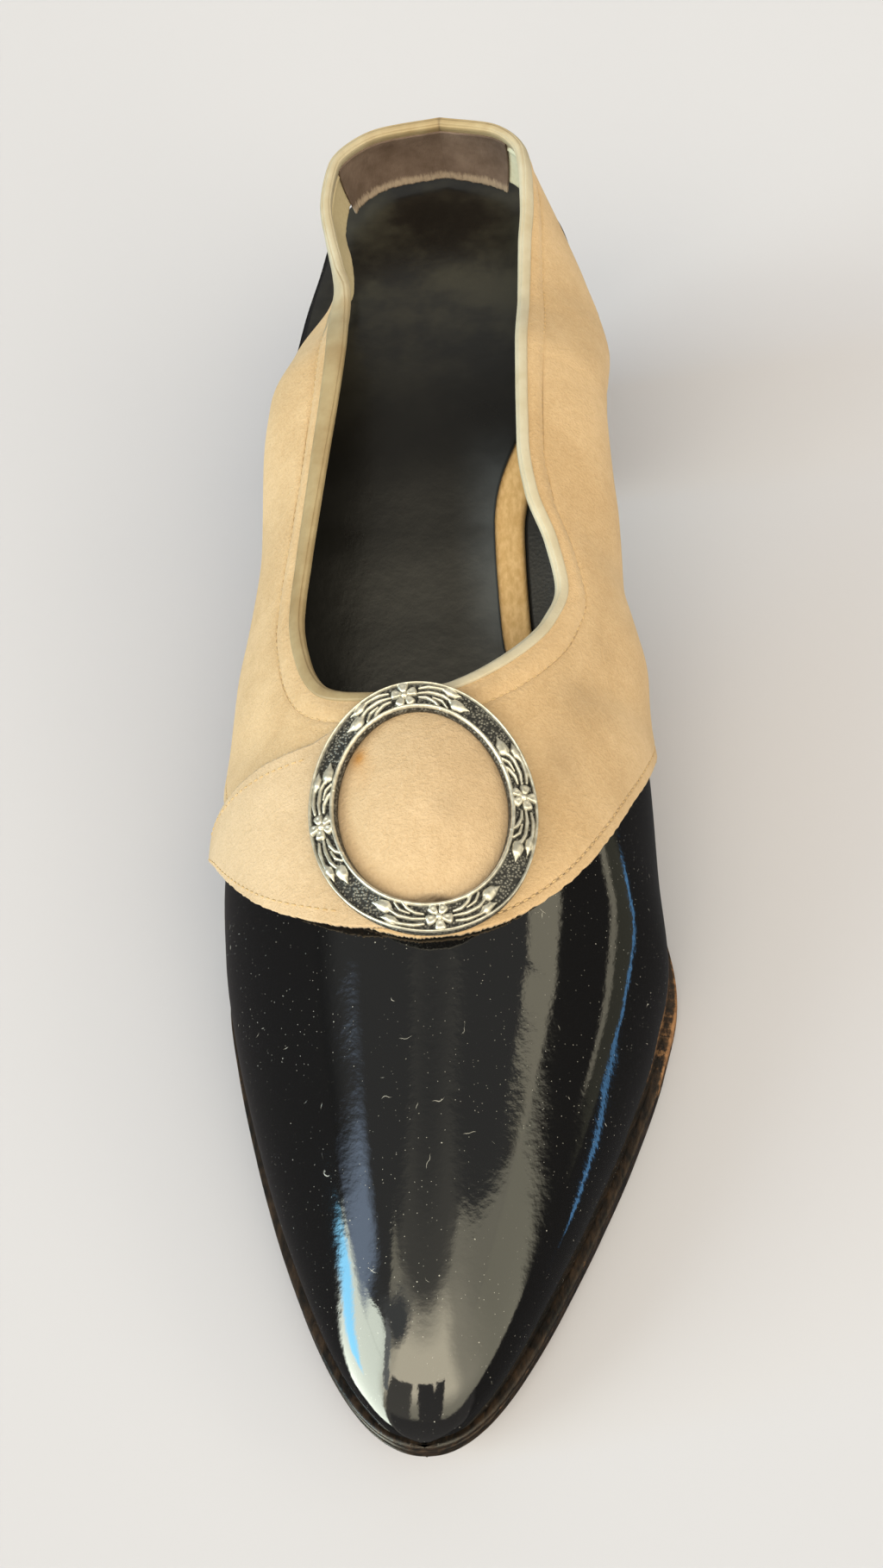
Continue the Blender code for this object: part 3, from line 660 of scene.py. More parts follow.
def patent_finish():
    """Black mirror-gloss patent: slight orange peel, settled dust, specks and short curls of lint."""
    paint = Finish("patent", IOR=1.6, Specular_IOR_Level=0.7)
    here = paint.place()

    def specks(at, scale, radius, share):
        """Dots on a random share of scattered places."""
        pick = paint.node("ShaderNodeSeparateColor", {}, {0: paint.cells(at, scale, output=1)})
        dots = paint.cells(at, scale).ramp(radius * scale, radius * scale * 0.4)
        return dots * pick.ramp(1 - share, 1.01 - share)

    sway = paint.node("ShaderNodeTexNoise", {}, {"Vector": here, "Scale": 0.45, "Detail": 1.0}, 1)
    bent = paint.node("ShaderNodeVectorMath", {"operation": "MULTIPLY_ADD"}, {0: sway, 1: LINT_SWAY, 2: here})

    def lint(turn):
        """Short bent fibres along one bearing: dots drawn out on ground that sways."""
        drawn = {"Vector": bent, "Rotation": (0, 0, math.radians(turn)), "Scale": LINT_STRETCH}
        at = paint.node("ShaderNodeMapping", {"vector_type": "TEXTURE"}, drawn)
        return specks(at, scale=0.85, radius=0.064, share=0.6)

    cloud = paint.noise(here, 0.07, 2)
    fine = specks(here, scale=1.5, radius=0.1, share=0.45) * 0.42 * cloud.ramp(0.25, 0.6)
    coarse = specks(here, scale=0.6, radius=0.14, share=0.28) * 0.55
    first, second, third = (lint(bearing) for bearing in LINT_BEARINGS)
    dust = coarse + fine + (first + second + third) * 0.52
    black, grey = (0.004, 0.004, 0.0045), (0.62, 0.61, 0.58)
    paint.set("Base Color", paint.blend(dust, black, grey))
    paint.set("Roughness", 0.045 + dust * 0.5 + cloud * 0.03)
    peel = paint.noise(here, 0.9, 2, 0.5) + paint.noise(here, 0.22, 1, 0.4) * 1.6
    paint.bump(peel, 0.015)
    return paint.material


def suede_finish(name, colour, deep):
    """Brushed suede: mottled nap and grain, with stains, and dark marks of soil and painted shade, where a piece
    carries those fields.
    """
    paint = Finish(name, Roughness=0.95, Specular_IOR_Level=0.12, Sheen_Weight=0.2, Sheen_Roughness=0.6)
    paint.set("Sheen Tint", (1.0, 0.9, 0.74, 1))
    here = paint.place()
    cloud = paint.noise(here, 0.05, 4, 0.6)
    nap = paint.noise(here, 0.45, 3, 0.65, 0.8)
    grain = paint.noise(here, 1.9, 2, 0.7)
    tone = cloud.ramp(0.36, 0.64) * 0.44 + nap.ramp(0.3, 0.75) * 0.24 + grain.ramp(0.3, 0.72) * 0.32
    rust, shade_and_dirt_colour = (0.42, 0.2, 0.05), (0.06, 0.038, 0.024)
    stained = paint.blend(paint.field("stain"), paint.blend(tone, deep, colour), rust)
    # Dark marks: soil, and painted shade where they stand for a shadow line or a shaded hollow.
    paint.set("Base Color", paint.blend(paint.field("dirt_and_shade"), stained, shade_and_dirt_colour))
    paint.bump(grain * 0.9 + nap * 0.7, 0.34, 0.65)
    return paint.material


def quarter_lining_finish():
    """Black lining of the quarters: smooth leather with fine pores, a little uneven in tone and gloss."""
    paint = Finish("lining_leather")
    here = paint.place()
    cloud = paint.noise(here, 0.08, 4, 0.6)
    pores = paint.cells(here, 1.6)
    paint.set("Base Color", paint.blend(cloud.ramp(0.35, 0.75) * 0.6, (0.008, 0.008, 0.009), (0.02, 0.02, 0.021)))
    paint.set("Roughness", 0.42 + (cloud - 0.5) * 0.18)
    paint.bump(pores + cloud * 1.5, 0.05, 0.6)
    return paint.material


def sock_finish():
    """Black sock leather: soft gloss, lighter greenish patches at the seat, and a bluish painted sheen along the medial
    waist.
    """
    paint = Finish("sock_leather", Specular_IOR_Level=0.5)
    here = paint.place()
    x, y = (paint.node("ShaderNodeSeparateXYZ", {}, {0: here}, axis) for axis in range(2))
    cloud = paint.noise(here, 0.05, 4, 0.6)
    seat_patches = cloud.ramp(0.42, 0.68) * y.ramp(50, 95)
    # Painted sheen: a bluish highlight along the medial waist, put into the colour.
    painted_sheen = x.ramp(1, 13) * y.within(16, 46, 14) * cloud.ramp(0.2, 0.6)
    black = paint.blend(seat_patches, (0.006, 0.0055, 0.005), (0.034, 0.032, 0.024))
    paint.set("Base Color", paint.blend(painted_sheen, black, (0.075, 0.09, 0.112)))
    paint.set("Roughness", 0.32 + (cloud - 0.5) * 0.3)
    paint.bump(paint.noise(here, 0.35, 3, 0.6), 0.12, 0.5)
    return paint.material


def silver_finish():
    """Antique silver: bright worn rims, petals and stems over a dark, pebbled ground."""
    paint = Finish("silver", Metallic=0.65)
    here = paint.place()
    relief = paint.field("relief")
    tarnish = paint.noise(here, 0.8, 4, 0.6)
    worn = (relief + (tarnish - 0.5) * 0.2).ramp(0.3, 0.68)
    bright = paint.blend(tarnish.ramp(0.35, 0.7), (0.48, 0.455, 0.39), (0.72, 0.69, 0.615))
    pebbles = paint.cells(here, 2.2).ramp(0.7, 0.1)
    ground = paint.blend(pebbles, (0.04, 0.04, 0.04), (0.21, 0.205, 0.19))
    paint.set("Base Color", paint.blend(worn, ground, bright))
    paint.set("Roughness", 0.45 - worn * 0.08 + (tarnish - 0.5) * 0.12)
    paint.bump(pebbles * relief.ramp(0.25, 0.08) + tarnish * 0.25, 0.14, 0.9)
    return paint.material


def binding_finish():
    """Cream binding leather: smooth, worn brown along the lateral quarter, the same brown at the back as painted shade,
    and paler elsewhere, with painted light on the lateral sling.

    seam: the dark line where its two ends are sewn together.
    """
    paint = Finish("binding", Specular_IOR_Level=0.4)
    here = paint.place()
    cloud = paint.noise(here, 0.12, 4, 0.6)
    # worn: brown, real wear on the lateral quarter and painted shade at the back. pale: cream, and painted light on the
    # lateral sling.
    worn = paint.blend(cloud.ramp(0.3, 0.7), (0.265, 0.19, 0.102), (0.355, 0.28, 0.168))
    pale = paint.blend(cloud.ramp(0.3, 0.7), (0.43, 0.37, 0.27), (0.5, 0.455, 0.365))
    clean = paint.blend(paint.field("pale"), worn, pale)
    paint.set("Base Color", paint.blend(paint.field("seam"), clean, (0.12, 0.08, 0.045)))
    paint.set("Roughness", 0.5 + (cloud - 0.5) * 0.2)
    paint.bump(paint.cells(here, 1.8) + cloud, 0.04, 0.6)
    return paint.material


def sling_lining_finish():
    """Cream lining of the sling: worn like the binding on the lateral side, paler on the medial one."""
    paint = Finish("sling_lining", Roughness=0.75, Specular_IOR_Level=0.25)
    here = paint.place()
    side = paint.node("ShaderNodeSeparateXYZ", {}, {0: here})
    weave = paint.noise(here, 1.2, 3, 0.6)
    worn = paint.blend(weave, (0.42, 0.34, 0.215), (0.56, 0.48, 0.33))
    pale = paint.blend(weave, (0.5, 0.49, 0.38), (0.64, 0.64, 0.53))
    paint.set("Base Color", paint.blend(side.ramp(-4, 12), worn, pale))
    paint.bump(weave, 0.12, 0.6)
    return paint.material


def grip_finish():
    """Brown suede of the heel grip, rubbed dark, paler where its lower edge frays."""
    paint = Finish("grip_suede", Roughness=0.95, Specular_IOR_Level=0.1)
    here = paint.place()
    cloud = paint.noise(here, 0.11, 4, 0.65)
    fibre = paint.noise(paint.place((1, 1, 0.3)), 1.6, 3, 0.7)
    brown = paint.blend(cloud.ramp(0.2, 0.8), (0.085, 0.058, 0.047), (0.19, 0.14, 0.12))
    frayed = (paint.field("fray") + (fibre - 0.5) * 1.2).ramp(0.4, 1.1)
    paint.set("Base Color", paint.blend(frayed, brown, (0.34, 0.27, 0.215)))
    paint.bump(fibre, 0.3, 0.6)
    return paint.material


def board_finish():
    """Insole edge: tan cellulose board along the arch, wrapped in black leather round the seat and the toe. Its tan is
    lighter than the board's own, as painted light.
    """
    paint = Finish("insole_board", Roughness=0.55, Specular_IOR_Level=0.35)
    here = paint.place()
    wrap = paint.node("ShaderNodeSeparateXYZ", {}, {0: here}, 1)
    bare = wrap.within(-60, 60, 4)
    streak = paint.noise(paint.place((1, 0.12, 1)), 1.2, 4, 0.6)
    # Painted light: the tan is lighter than the board's own, so that the strip, which lies in shade deep in the shoe,
    # looks directly lit.
    tan = paint.blend(streak.ramp(0.3, 0.75), (0.68, 0.43, 0.185), (0.86, 0.6, 0.31))
    paint.set("Base Color", paint.blend(bare, (0.008, 0.008, 0.009), tan))
    paint.set("Roughness", 0.22 + bare * 0.34)
    paint.bump(streak, 0.1, 0.5)
    return paint.material


def sole_finish():
    """Sole leather: dark stained edge, rubbed brown along its lip and bare at the ball, and a worn tan tread."""
    paint = Finish("sole_leather", Specular_IOR_Level=0.4)
    here = paint.place()
    streak = paint.noise(paint.place((1, 0.3, 1.4)), 0.8, 4, 0.7)
    scuff = paint.noise(here, 0.5, 5, 0.75)
    stain = paint.blend(streak.ramp(0.35, 0.75), (0.006, 0.005, 0.0045), (0.045, 0.028, 0.018))
    tan = paint.blend(scuff.ramp(0.3, 0.7), (0.14, 0.062, 0.026), (0.36, 0.19, 0.09))
    bare = (paint.field("wear") + (scuff - 0.5) * 1.3).ramp(0.4, 0.8)
    rubbed = (paint.field("tread") + (scuff - 0.5) * 0.5).ramp(0.4, 0.6)
    edge = paint.blend(bare, stain, tan)
    tread = paint.blend(scuff.ramp(0.4, 0.62), (0.17, 0.095, 0.05), tan)
    paint.set("Base Color", paint.blend(rubbed, edge, tread))
    paint.set("Roughness", 0.34 + bare * 0.3 + rubbed * 0.2)
    paint.bump(streak + scuff, 0.2, 0.6)
    return paint.material


def rubber_finish():
    """Heel's top piece: dull black rubber, a little scuffed."""
    paint = Finish("top_piece_rubber", Roughness=0.7)
    scuff = paint.noise(paint.place(), 0.8, 5, 0.7)
    paint.set("Base Color", paint.blend(scuff.ramp(0.5, 0.75), (0.012, 0.012, 0.012), (0.05, 0.046, 0.042)))
    paint.bump(scuff, 0.2, 0.5)
    return paint.material


# Upper.

# Soft flex troughs of the vamp, as (x, y, length, width, turn, depth): middle, reach along and across it, degrees from
# square to the shoe, and height, which is below 0 for a trough.
FLEX = (
    (15.0, -63.5, 5.0, 2.2, -20.0, -0.10),
    (22.0, -73.0, 14.0, 1.5, 76.0, -0.05),
    (26.0, -70.0, 15.0, 1.6, 74.0, 0.05),
    (-6.0, -67.0, 15.0, 3.4, 5.0, -0.03),
    (-14.0, -77.0, 13.0, 4.0, 10.0, -0.03),
    (8.0, -82.0, 12.0, 4.4, -8.0, -0.02),
)


def flex(x, y):
    """Sum of long soft troughs: a bell across each, and a wider bell along it."""
    total = np.zeros(np.broadcast(x, y).shape)
    for middle_x, middle_y, length, width, turn, depth in FLEX:
        angle = math.radians(turn)
        along = (x - middle_x) * math.cos(angle) + (y - middle_y) * math.sin(angle)
        across = (y - middle_y) * math.cos(angle) - (x - middle_x) * math.sin(angle)
        total += depth * bell(along, 0, length) * bell(across, 0, width)
    return total


def upper_patch(side):
    """Inner face of the patent wall of one side.

    Its ribs stand square round the toe. Farther back they run up from the wall's lower edge, and swing towards the
    topline near their tops.
    """
    first_rib, first_y = WALL_LOW[0]
    toe = y_of(np.linspace(0, station_of(first_y), TOE_STEPS))[:-1]
    ribs = np.linspace(first_rib, QUARTER_RIB, WALL_RIB_STEPS)
    top_y, top_rise = topline(side, ribs)
    top_rise = top_rise - WALL_TUCK * smoothstep(THROAT_RIB, THROAT_RIB + WALL_TUCK_RIBS, ribs)
    low_y = np.concatenate([toe, read(WALL_LOW, WALL_COLUMNS, "low_y", ribs)])[:, None]
    top_y = np.concatenate([toe, top_y])[:, None]
    top_rise = np.concatenate([np.ones(len(toe)), top_rise])[:, None]
    up = np.linspace(0, 1, WALL_ROWS)[None, :]
    y, rise = mix(low_y, top_y, up**WALL_SWING), top_rise * up
    bare = last_point(side, y, rise)
    return Patch(lifted_point(side, y, rise, flex(bare[..., 0], y)), side == "lateral")


def add_upper(finishes):
    """Patent wall round the toe and along the quarters. Its cut edge is faced with the lining."""
    sides = [upper_patch(side) for side in SIDES]
    upper = add_piece("patent_upper", sides, finishes, "upper", WALL, 1)
    upper.modifiers["thickness"].material_offset_rim = 1


# Marks on the suede.

# Stains of the strap, dark marks of the strap, and dark marks of the band, as (x, y, wide, long, amount): middle, reach
# across and along the shoe, and how strong. The strap's dark marks are a spot of soil on its dome and a painted shadow
# line under the dome's raised cut edge.
# The band's dark marks are painted shade of soft hollows and folds on the medial quarter, partly soil.
STAINS = (
    (-9.0, -33.4, 1.0, 1.3, 0.8),
    (-8.4, -35.5, 1.8, 3.4, 0.25),
)
STRAP_DIRT_AND_SHADOW = (
    (4.2, -42.9, 2.2, 2.4, 0.14),
    # Painted shadow line under the raised cut edge at the dome's front.
    (3.6, -56.0, 4.0, 0.35, 0.95),
)
# Painted shade of soft hollows and folds on the medial quarter, partly soil.
BAND_SHADE_AND_DIRT = (
    (27.0, -4.0, 3.0, 6.0, 0.08),
    (23.6, -15.5, 3.6, 7.0, 0.15),
    (21.2, -29.0, 3.2, 6.0, 0.2),
    (19.4, -44.0, 1.6, 5.0, 0.06),
)


def marks(table, x, y):
    """Sum of soft spots: a bell across each and a bell along it."""
    return sum(amount * bell(x, at_x, wide) * bell(y, at_y, long) for at_x, at_y, wide, long, amount in table)


# Suede band.

# Soft folds of the slack quarters and sling, as (rib, up, rib width, up width, lean, height): where they lie, how wide
# they are in ribs and up the band, how many ribs they lean over its height, and how high they stand.
FOLDS = {
    "lateral": (
        (8.6, 0.35, 0.55, 0.35, 1.2, -0.7),
        (10.2, 0.5, 0.7, 0.4, 0.8, 0.5),
        (12.2, 0.45, 0.8, 0.4, -0.6, -0.5),
        (14.2, 0.5, 0.7, 0.4, -0.5, 0.45),
    ),
    "medial": (
        (8.9, 0.42, 0.5, 0.4, 1.6, -0.8),
        (10.4, 0.45, 0.6, 0.4, 1.2, 0.7),
        (11.8, 0.5, 0.5, 0.4, 0.8, -0.7),
        (13.1, 0.5, 0.55, 0.4, 0.4, 0.6),
        (15.0, 0.7, 0.95, 0.75, 0.1, -1.3),
        (16.9, 0.65, 0.85, 0.95, 0.3, 1.3),
    ),
}

# Height of the band from which its folds are full.
FOLD_HEIGHT = 12

# Stitch rows: how far in from the front edge and between which ribs, and how far below the upper edge, with the ribs
# between which that changes. Then the grooves that they pull in, how much deeper the top one is, their widths, the soft
# roll above the top one with its place and width as shares of that row's distance from the edge, and over how many ribs
# behind the throat both come in.
FRONT_STITCH = 1.6
FRONT_ROW = (1.2, 10.6)
TOP_STITCH = {"throat": 4.4, "sling": 2.6}
TOP_STITCH_RIBS = (8, 14)
STITCH_GROOVE = 0.2
TOP_GROOVE = 1.4
FRONT_GROOVE_WIDTH = 0.45
TOP_GROOVE_WIDTH = 0.6
TOP_ROLL = 0.32
TOP_ROLL_SHARES = (0.5, 0.3)
TOP_START_RIBS = 0.4

# Ragged cut edge: how far its points move, and the seeds of the draws for the band and the strap's two edges.
EDGE_FUZZ = 0.13
FUZZ_SEEDS = {"band": 1, "strap_front": 2, "strap_back": 3}

# Rows beside the band's edges, in millimetres from them, their greatest share of its height, and the rows between.
EDGE_ROWS = (0.0, 0.35, 0.7, 1.0, 1.3, 1.6, 1.9, 2.2, 2.6, 3.0, 3.4, 3.8, 4.2, 4.6, 5.0, 5.5)
EDGE_SHARE = 0.45
MIDDLE_ROWS = 24


def suede_base(side, rib, up):
    """Inner face of the band without its folds: on the upper's own surface, then free as the sling."""
    low_y = read(SUEDE_LOW, SUEDE_COLUMNS, side + "_y", rib)
    low_rise = read(SUEDE_LOW, SUEDE_COLUMNS, "rise", rib)
    top_y, top_rise = topline(side, rib)
    on_upper = lifted_point(side, mix(low_y, top_y, up), mix(low_rise, top_rise, up), SUEDE_LIFT)
    table = SLING[side]
    low = points(*(read(table, SLING_COLUMNS, "low_" + axis, rib) for axis in "xyz"))
    top = points(*(read(table, SLING_COLUMNS, "top_" + axis, rib) for axis in "xyz"))
    face = mix(low, top, up[..., None])
    outward = unit(face * (1, 1, 0) - SLING_MIDDLE)
    bow = read(table, SLING_COLUMNS, "bow", rib) * 4 * up * (1 - up)
    return mix(on_upper, face + outward * bow[..., None], smoothstep(*SLING_BLEND, rib)[..., None])


def suede_normal(side, rib, up):
    """Way out of the band, square to it."""
    after = suede_base(side, np.minimum(rib + STEP_RIB, BACK_RIB), up)
    back = after - suede_base(side, np.maximum(rib - STEP_RIB, FIRST_RIB), up)
    over = suede_base(side, rib, up + STEP_UP) - suede_base(side, rib, up - STEP_UP)
    return unit(np.cross(back, over)) * SIDES[side]


def band_height(side, rib):
    """Length of the band along a rib, from its lower edge to its upper one."""
    samples = np.linspace(0, BACK_RIB, HEIGHT_RIBS)
    rows = np.linspace(0, 1, HEIGHT_ROWS)
    face = suede_base(side, *np.broadcast_arrays(samples[:, None], rows[None, :]))
    lengths = np.linalg.norm(np.diff(face, axis=1), axis=-1).sum(1)
    return np.interp(rib, samples, lengths)


def top_stitch(rib):
    """How far below the band's upper edge its stitch row lies."""
    return mix(TOP_STITCH["throat"], TOP_STITCH["sling"], smoothstep(*TOP_STITCH_RIBS, rib))


def suede_relief(side, rib, up):
    """Folds of the slack leather, the groove that each stitch row pulls in, and the soft roll above the top one."""
    height = band_height(side, rib)
    inset = np.minimum(1, height / FOLD_HEIGHT) * np.clip(4 * up * (1 - up), 0, 1)
    total = np.zeros(np.broadcast(rib, up).shape)
    for middle, at, rib_width, up_width, lean, depth in FOLDS[side]:
        total += depth * bell(rib + lean * (up - at), middle, rib_width) * bell(up, at, up_width)
    below = (1 - up) * height
    row = top_stitch(rib)
    behind_throat = smoothstep(THROAT_RIB, THROAT_RIB + TOP_START_RIBS, rib)
    ahead_of_end = smoothstep(FRONT_ROW[1] + 1, FRONT_ROW[1], rib)
    low_groove = bell(up * height, FRONT_STITCH, FRONT_GROOVE_WIDTH) * ahead_of_end
    top_groove = bell(below, row, TOP_GROOVE_WIDTH) * behind_throat
    roll = bell(below, *(row * share for share in TOP_ROLL_SHARES)) * behind_throat
    return total * inset - STITCH_GROOVE * (low_groove + TOP_GROOVE * top_groove) + TOP_ROLL * roll


def suede_face(side, rib, up, height=0.0):
    """Point of the band: its inner face with folds, or a height outside it."""
    rib, up = np.broadcast_arrays(np.asarray(rib, float), np.asarray(up, float))
    lift = suede_relief(side, rib, up) + height
    return suede_base(side, rib, up) + suede_normal(side, rib, up) * lift[..., None]


def band_rows(side, ribs):
    """Rows up the band for each rib: close together beside both edges, even between them."""
    height = band_height(side, ribs)[:, None]
    edge = np.array(EDGE_ROWS)[None, :]
    reach = np.minimum(edge / np.maximum(height, 1e-6), EDGE_SHARE * edge / EDGE_ROWS[-1])
    inner = np.linspace(0, 1, MIDDLE_ROWS + 2)[None, 1:-1]
    middle = mix(reach[:, -1:], 1 - reach[:, -1:], inner)
    return np.concatenate([reach, middle, 1 - reach[:, ::-1]], 1)


def fuzz(edge, inner, seed):
    """Cut edge of suede, a little ragged: each point moved along the leather by a random share of the fuzz."""
    reach = np.random.default_rng(seed).uniform(-EDGE_FUZZ, EDGE_FUZZ, len(edge))
    return edge + unit(edge - inner) * reach[:, None]


def suede_patch(side):
    """Inner face of the band on one side, with a ragged lower edge. Both sides meet on the ridge and at the back."""
    ribs = np.linspace(0, BACK_RIB, RIB_STEPS)
    up = band_rows(side, ribs)
    face = suede_face(side, ribs[:, None], up)
    face[:, 0] = fuzz(face[:, 0], face[:, 1], FUZZ_SEEDS["band"])
    face[0] = suede_base(side, np.zeros(up.shape[1]), up[0])
    face[:, 0, 0] *= ribs > 0
    ridge = ribs <= THROAT_RIB
    face[ridge, -1, 0] = 0
    face[[0, -1], :, 0] = 0
    # Its dark marks: painted shade of soft hollows and folds on the medial quarter, partly soil.
    return Patch(face, side == "lateral", dirt_and_shade=marks(BAND_SHADE_AND_DIRT, face[..., 0], face[..., 1]))


def add_suede_band(finishes):
    """Suede ring: laid over the throat and quarters, and free as a sling round the heel."""
    sides = [suede_patch(side) for side in SIDES]
    add_piece("suede_band_looks", sides, finishes, "suede_band", SUEDE, 1)


# Strap under the buckle.


def buckle_radius(x, y):
    """Distance from the buckle's middle as a share of its outer oval."""
    dx, dy = x - BUCKLE_X, y - BUCKLE_Y
    turned_x = dx * math.cos(BUCKLE_LEAN) + dy * math.sin(BUCKLE_LEAN)
    turned_y = dy * math.cos(BUCKLE_LEAN) - dx * math.sin(BUCKLE_LEAN)
    return np.hypot(turned_x / BUCKLE_ACROSS, turned_y / BUCKLE_ALONG)


def strap_plan(step, share):
    """Place across and along the vamp of a point of the strap.

    step: 0 at the strap's medial end, and one more at each row of its table, up to the tab's tip. share: from its front
    edge to its back one.
    """
    index = np.arange(len(STRAP_ROWS))
    across, front, back = (smooth_read(index, column(STRAP_ROWS, STRAP_COLUMNS, c), step) for c in STRAP_COLUMNS)
    y = mix(front, back, share)
    return np.broadcast_to(across, y.shape), y


def strap_point(step, share, height=0.0):
    """Point of the strap: flat on the suede, domed inside the oval, with a raised cut edge at the dome's front."""
    across, y = strap_plan(step, share)
    bare = vamp_point(across, y, 0.0)
    radius = buckle_radius(bare[..., 0], y) / BUCKLE_INNER
    hump = np.clip(1 - radius**2, 0, 1)
    lip = bell(radius, LIP_RADIUS, LIP_WIDTH) * bell(bare[..., 0], LIP_X, LIP_LENGTH) * (y < BUCKLE_Y)
    return vamp_point(across, y, STRAP_LIFT + DOME * hump + LIP * lip + height)


def add_strap(finishes):
    """Strap through the buckle, with a tab on the lateral side."""
    steps = np.linspace(0, len(STRAP_ROWS) - 1, STRAP_STEPS)[:, None]
    shares = np.linspace(0, 1, STRAP_SHARE_STEPS)[None, :]
    grid = strap_point(steps, shares)
    grid[:, 0] = fuzz(grid[:, 0], grid[:, 1], FUZZ_SEEDS["strap_front"])
    grid[:, -1] = fuzz(grid[:, -1], grid[:, -2], FUZZ_SEEDS["strap_back"])
    # Stains, and dark marks: soil on the dome, and a painted shadow line at the dome's cut edge.
    spots = {"stain": STAINS, "dirt_and_shade": STRAP_DIRT_AND_SHADOW}
    fields = {name: marks(table, grid[..., 0], grid[..., 1]) for name, table in spots.items()}
    add_piece("strap_looks", [Patch(grid, True, **fields)], finishes, "strap_tab", STRAP)


# Stitches.

STITCH_PITCH = 1.5
STITCH_LENGTH = 1.05
STITCH_RADIUS = 0.16
STITCH_RINGS = 7
STITCH_SIDES = 6

# How far the thread's middle stands above the band and above the strap, and how far up the way out is looked for.
BAND_THREAD = 0.05
STRAP_THREAD = 0.02
THREAD_OUT = 0.5

# Ribs at which the row below the binding starts and ends.
TOP_ROW_START = 6.5
TOP_ROW_END = BACK_RIB - 0.1

# Rows of the tab, as (first step of the strap, last step, share from its front edge to its back one).
TAB_ROWS = ((7.0, 14.2, 0.07), (8.2, 14.0, 0.92))

# How finely the rows' paths are sampled.
FRONT_ROW_STEPS = 200
TOP_ROW_STEPS = 400
TAB_ROW_STEPS = 80


def stitch_shape():
    """A short thread: a bar along its first axis, lying half sunk, that rounds off at its ends by a fourth power."""
    along = np.linspace(-1, 1, STITCH_RINGS)[:, None]
    turn = np.linspace(0, 2 * math.pi, STITCH_SIDES + 1)[None, :-1]
    waist = np.sqrt(np.clip(1 - along**4, 0, 1))
    beside = waist * np.cos(turn) * STITCH_RADIUS
    return points(along * STITCH_LENGTH / 2, beside, waist * np.sin(turn) * STITCH_RADIUS)


def stitch_row(path, outward):
    """Stitches along a path at an even pitch, as one grid for each stitch."""
    run = run_along(path)
    at = np.arange(STITCH_PITCH / 2, run[-1], STITCH_PITCH)
    middle = read_run(at, run, path)
    up = unit(read_run(at, run, outward))
    ahead = read_run(at, run, np.gradient(path, run, axis=0))
    ahead = unit(ahead - up * np.sum(ahead * up, -1, keepdims=True))
    axes = np.stack([ahead, np.cross(up, ahead), up], 1)
    placed = np.einsum("abk,nkc->nabc", stitch_shape(), axes) + middle[:, None, None, :]
    return [Patch(grid, True, (False, True)) for grid in placed]


def band_row(side, ribs, inset, from_top):
    """Path of a stitch row at an inset from one edge of the band, and the way out of it."""
    height = band_height(side, ribs)
    up = 1 - inset / height if from_top else inset / height
    return suede_face(side, ribs, up, SUEDE + BAND_THREAD), suede_normal(side, ribs, up)


def strap_row(first, final, share):
    """Path of a stitch row between two steps of the strap, and the way out of it."""
    steps = np.linspace(first, final, TAB_ROW_STEPS)[:, None]
    shares = np.full(steps.shape, share)
    path = strap_point(steps, shares, STRAP + STRAP_THREAD)[:, 0]
    above = strap_point(steps, shares, STRAP + THREAD_OUT)[:, 0]
    return path, unit(above - path)


def add_stitches(finish):
    """Rows beside the suede's front edge, below its binding, and round the strap's tab."""
    patches = []
    for side in SIDES:
        ribs = np.linspace(*FRONT_ROW, FRONT_ROW_STEPS)
        patches += stitch_row(*band_row(side, ribs, FRONT_STITCH, False))
        ribs = np.linspace(TOP_ROW_START, TOP_ROW_END, TOP_ROW_STEPS)
        patches += stitch_row(*band_row(side, ribs, top_stitch(ribs), True))
    for row in TAB_ROWS:
        patches += stitch_row(*strap_row(*row))
    add_piece("stitches", patches, [finish])


# Binding.

# How far the binding's legs reach down both faces of the suede at each rib.
BINDING_COLUMNS = ("rib", "lateral", "medial", "lateral_in", "medial_in")
BINDING_LEGS = (
    (6, 0.5, 0.5, 2.4, 2.4),
    (9, 1.0, 0.6, 2.6, 2.6),
    (13, 1.8, 0.7, 3.0, 2.8),
    (18, 2.8, 0.8, 5.0, 2.8),
    (21, 2.8, 1.2, 4.4, 2.8),
    (24, 2.0, 2.0, 2.6, 2.6),
)

# Its section: half-width, height above its base, how far the base lies above the suede's edge, how square its top and
# its legs are, and where round it (as the cosine of its turn) the inner leg passes into the outer one.
BINDING_HALF = 1.1
BINDING_RISE = 1.4
BINDING_BASE = 0.4
BINDING_SQUARE = 0.7
LEG_SQUARE = 0.5
LEG_CHANGE = (-0.3, 0.3)
BINDING_SIDES = 56

# Its pressed lines: depth, then for each its bearing round the section, its width, and its share of that depth.
PRESSED = 0.28
PRESSED_LINES = ((62, 0.16, 1.0), (118, 0.12, 0.7))

# Runs of ribs along it, as (first, last, count), close together at the throat and at the back.
BINDING_RUNS = ((THROAT_RIB, 8, 50), (8, 23.9, 239), (23.92, BACK_RIB, 5))

# Place up the band from which the way up to its edge is taken.
BELOW_EDGE = 0.97

# Pale stretches: middle and width of the lateral one, which is painted light, the ribs where they end on both, past
# which the back's brown is painted shade, and how many neighbours on each side soften them. Then the dark seam at the
# back, and its width in ribs' steps.
PALE_LATERAL = (20.6, 3.2)
PALE_LATERAL_END = (23.4, 22.0)
PALE_MEDIAL_END = (23.4, 21.4)
PALE_SOFT = 12
SEAM = 0.7
SEAM_WIDTH = 1.4


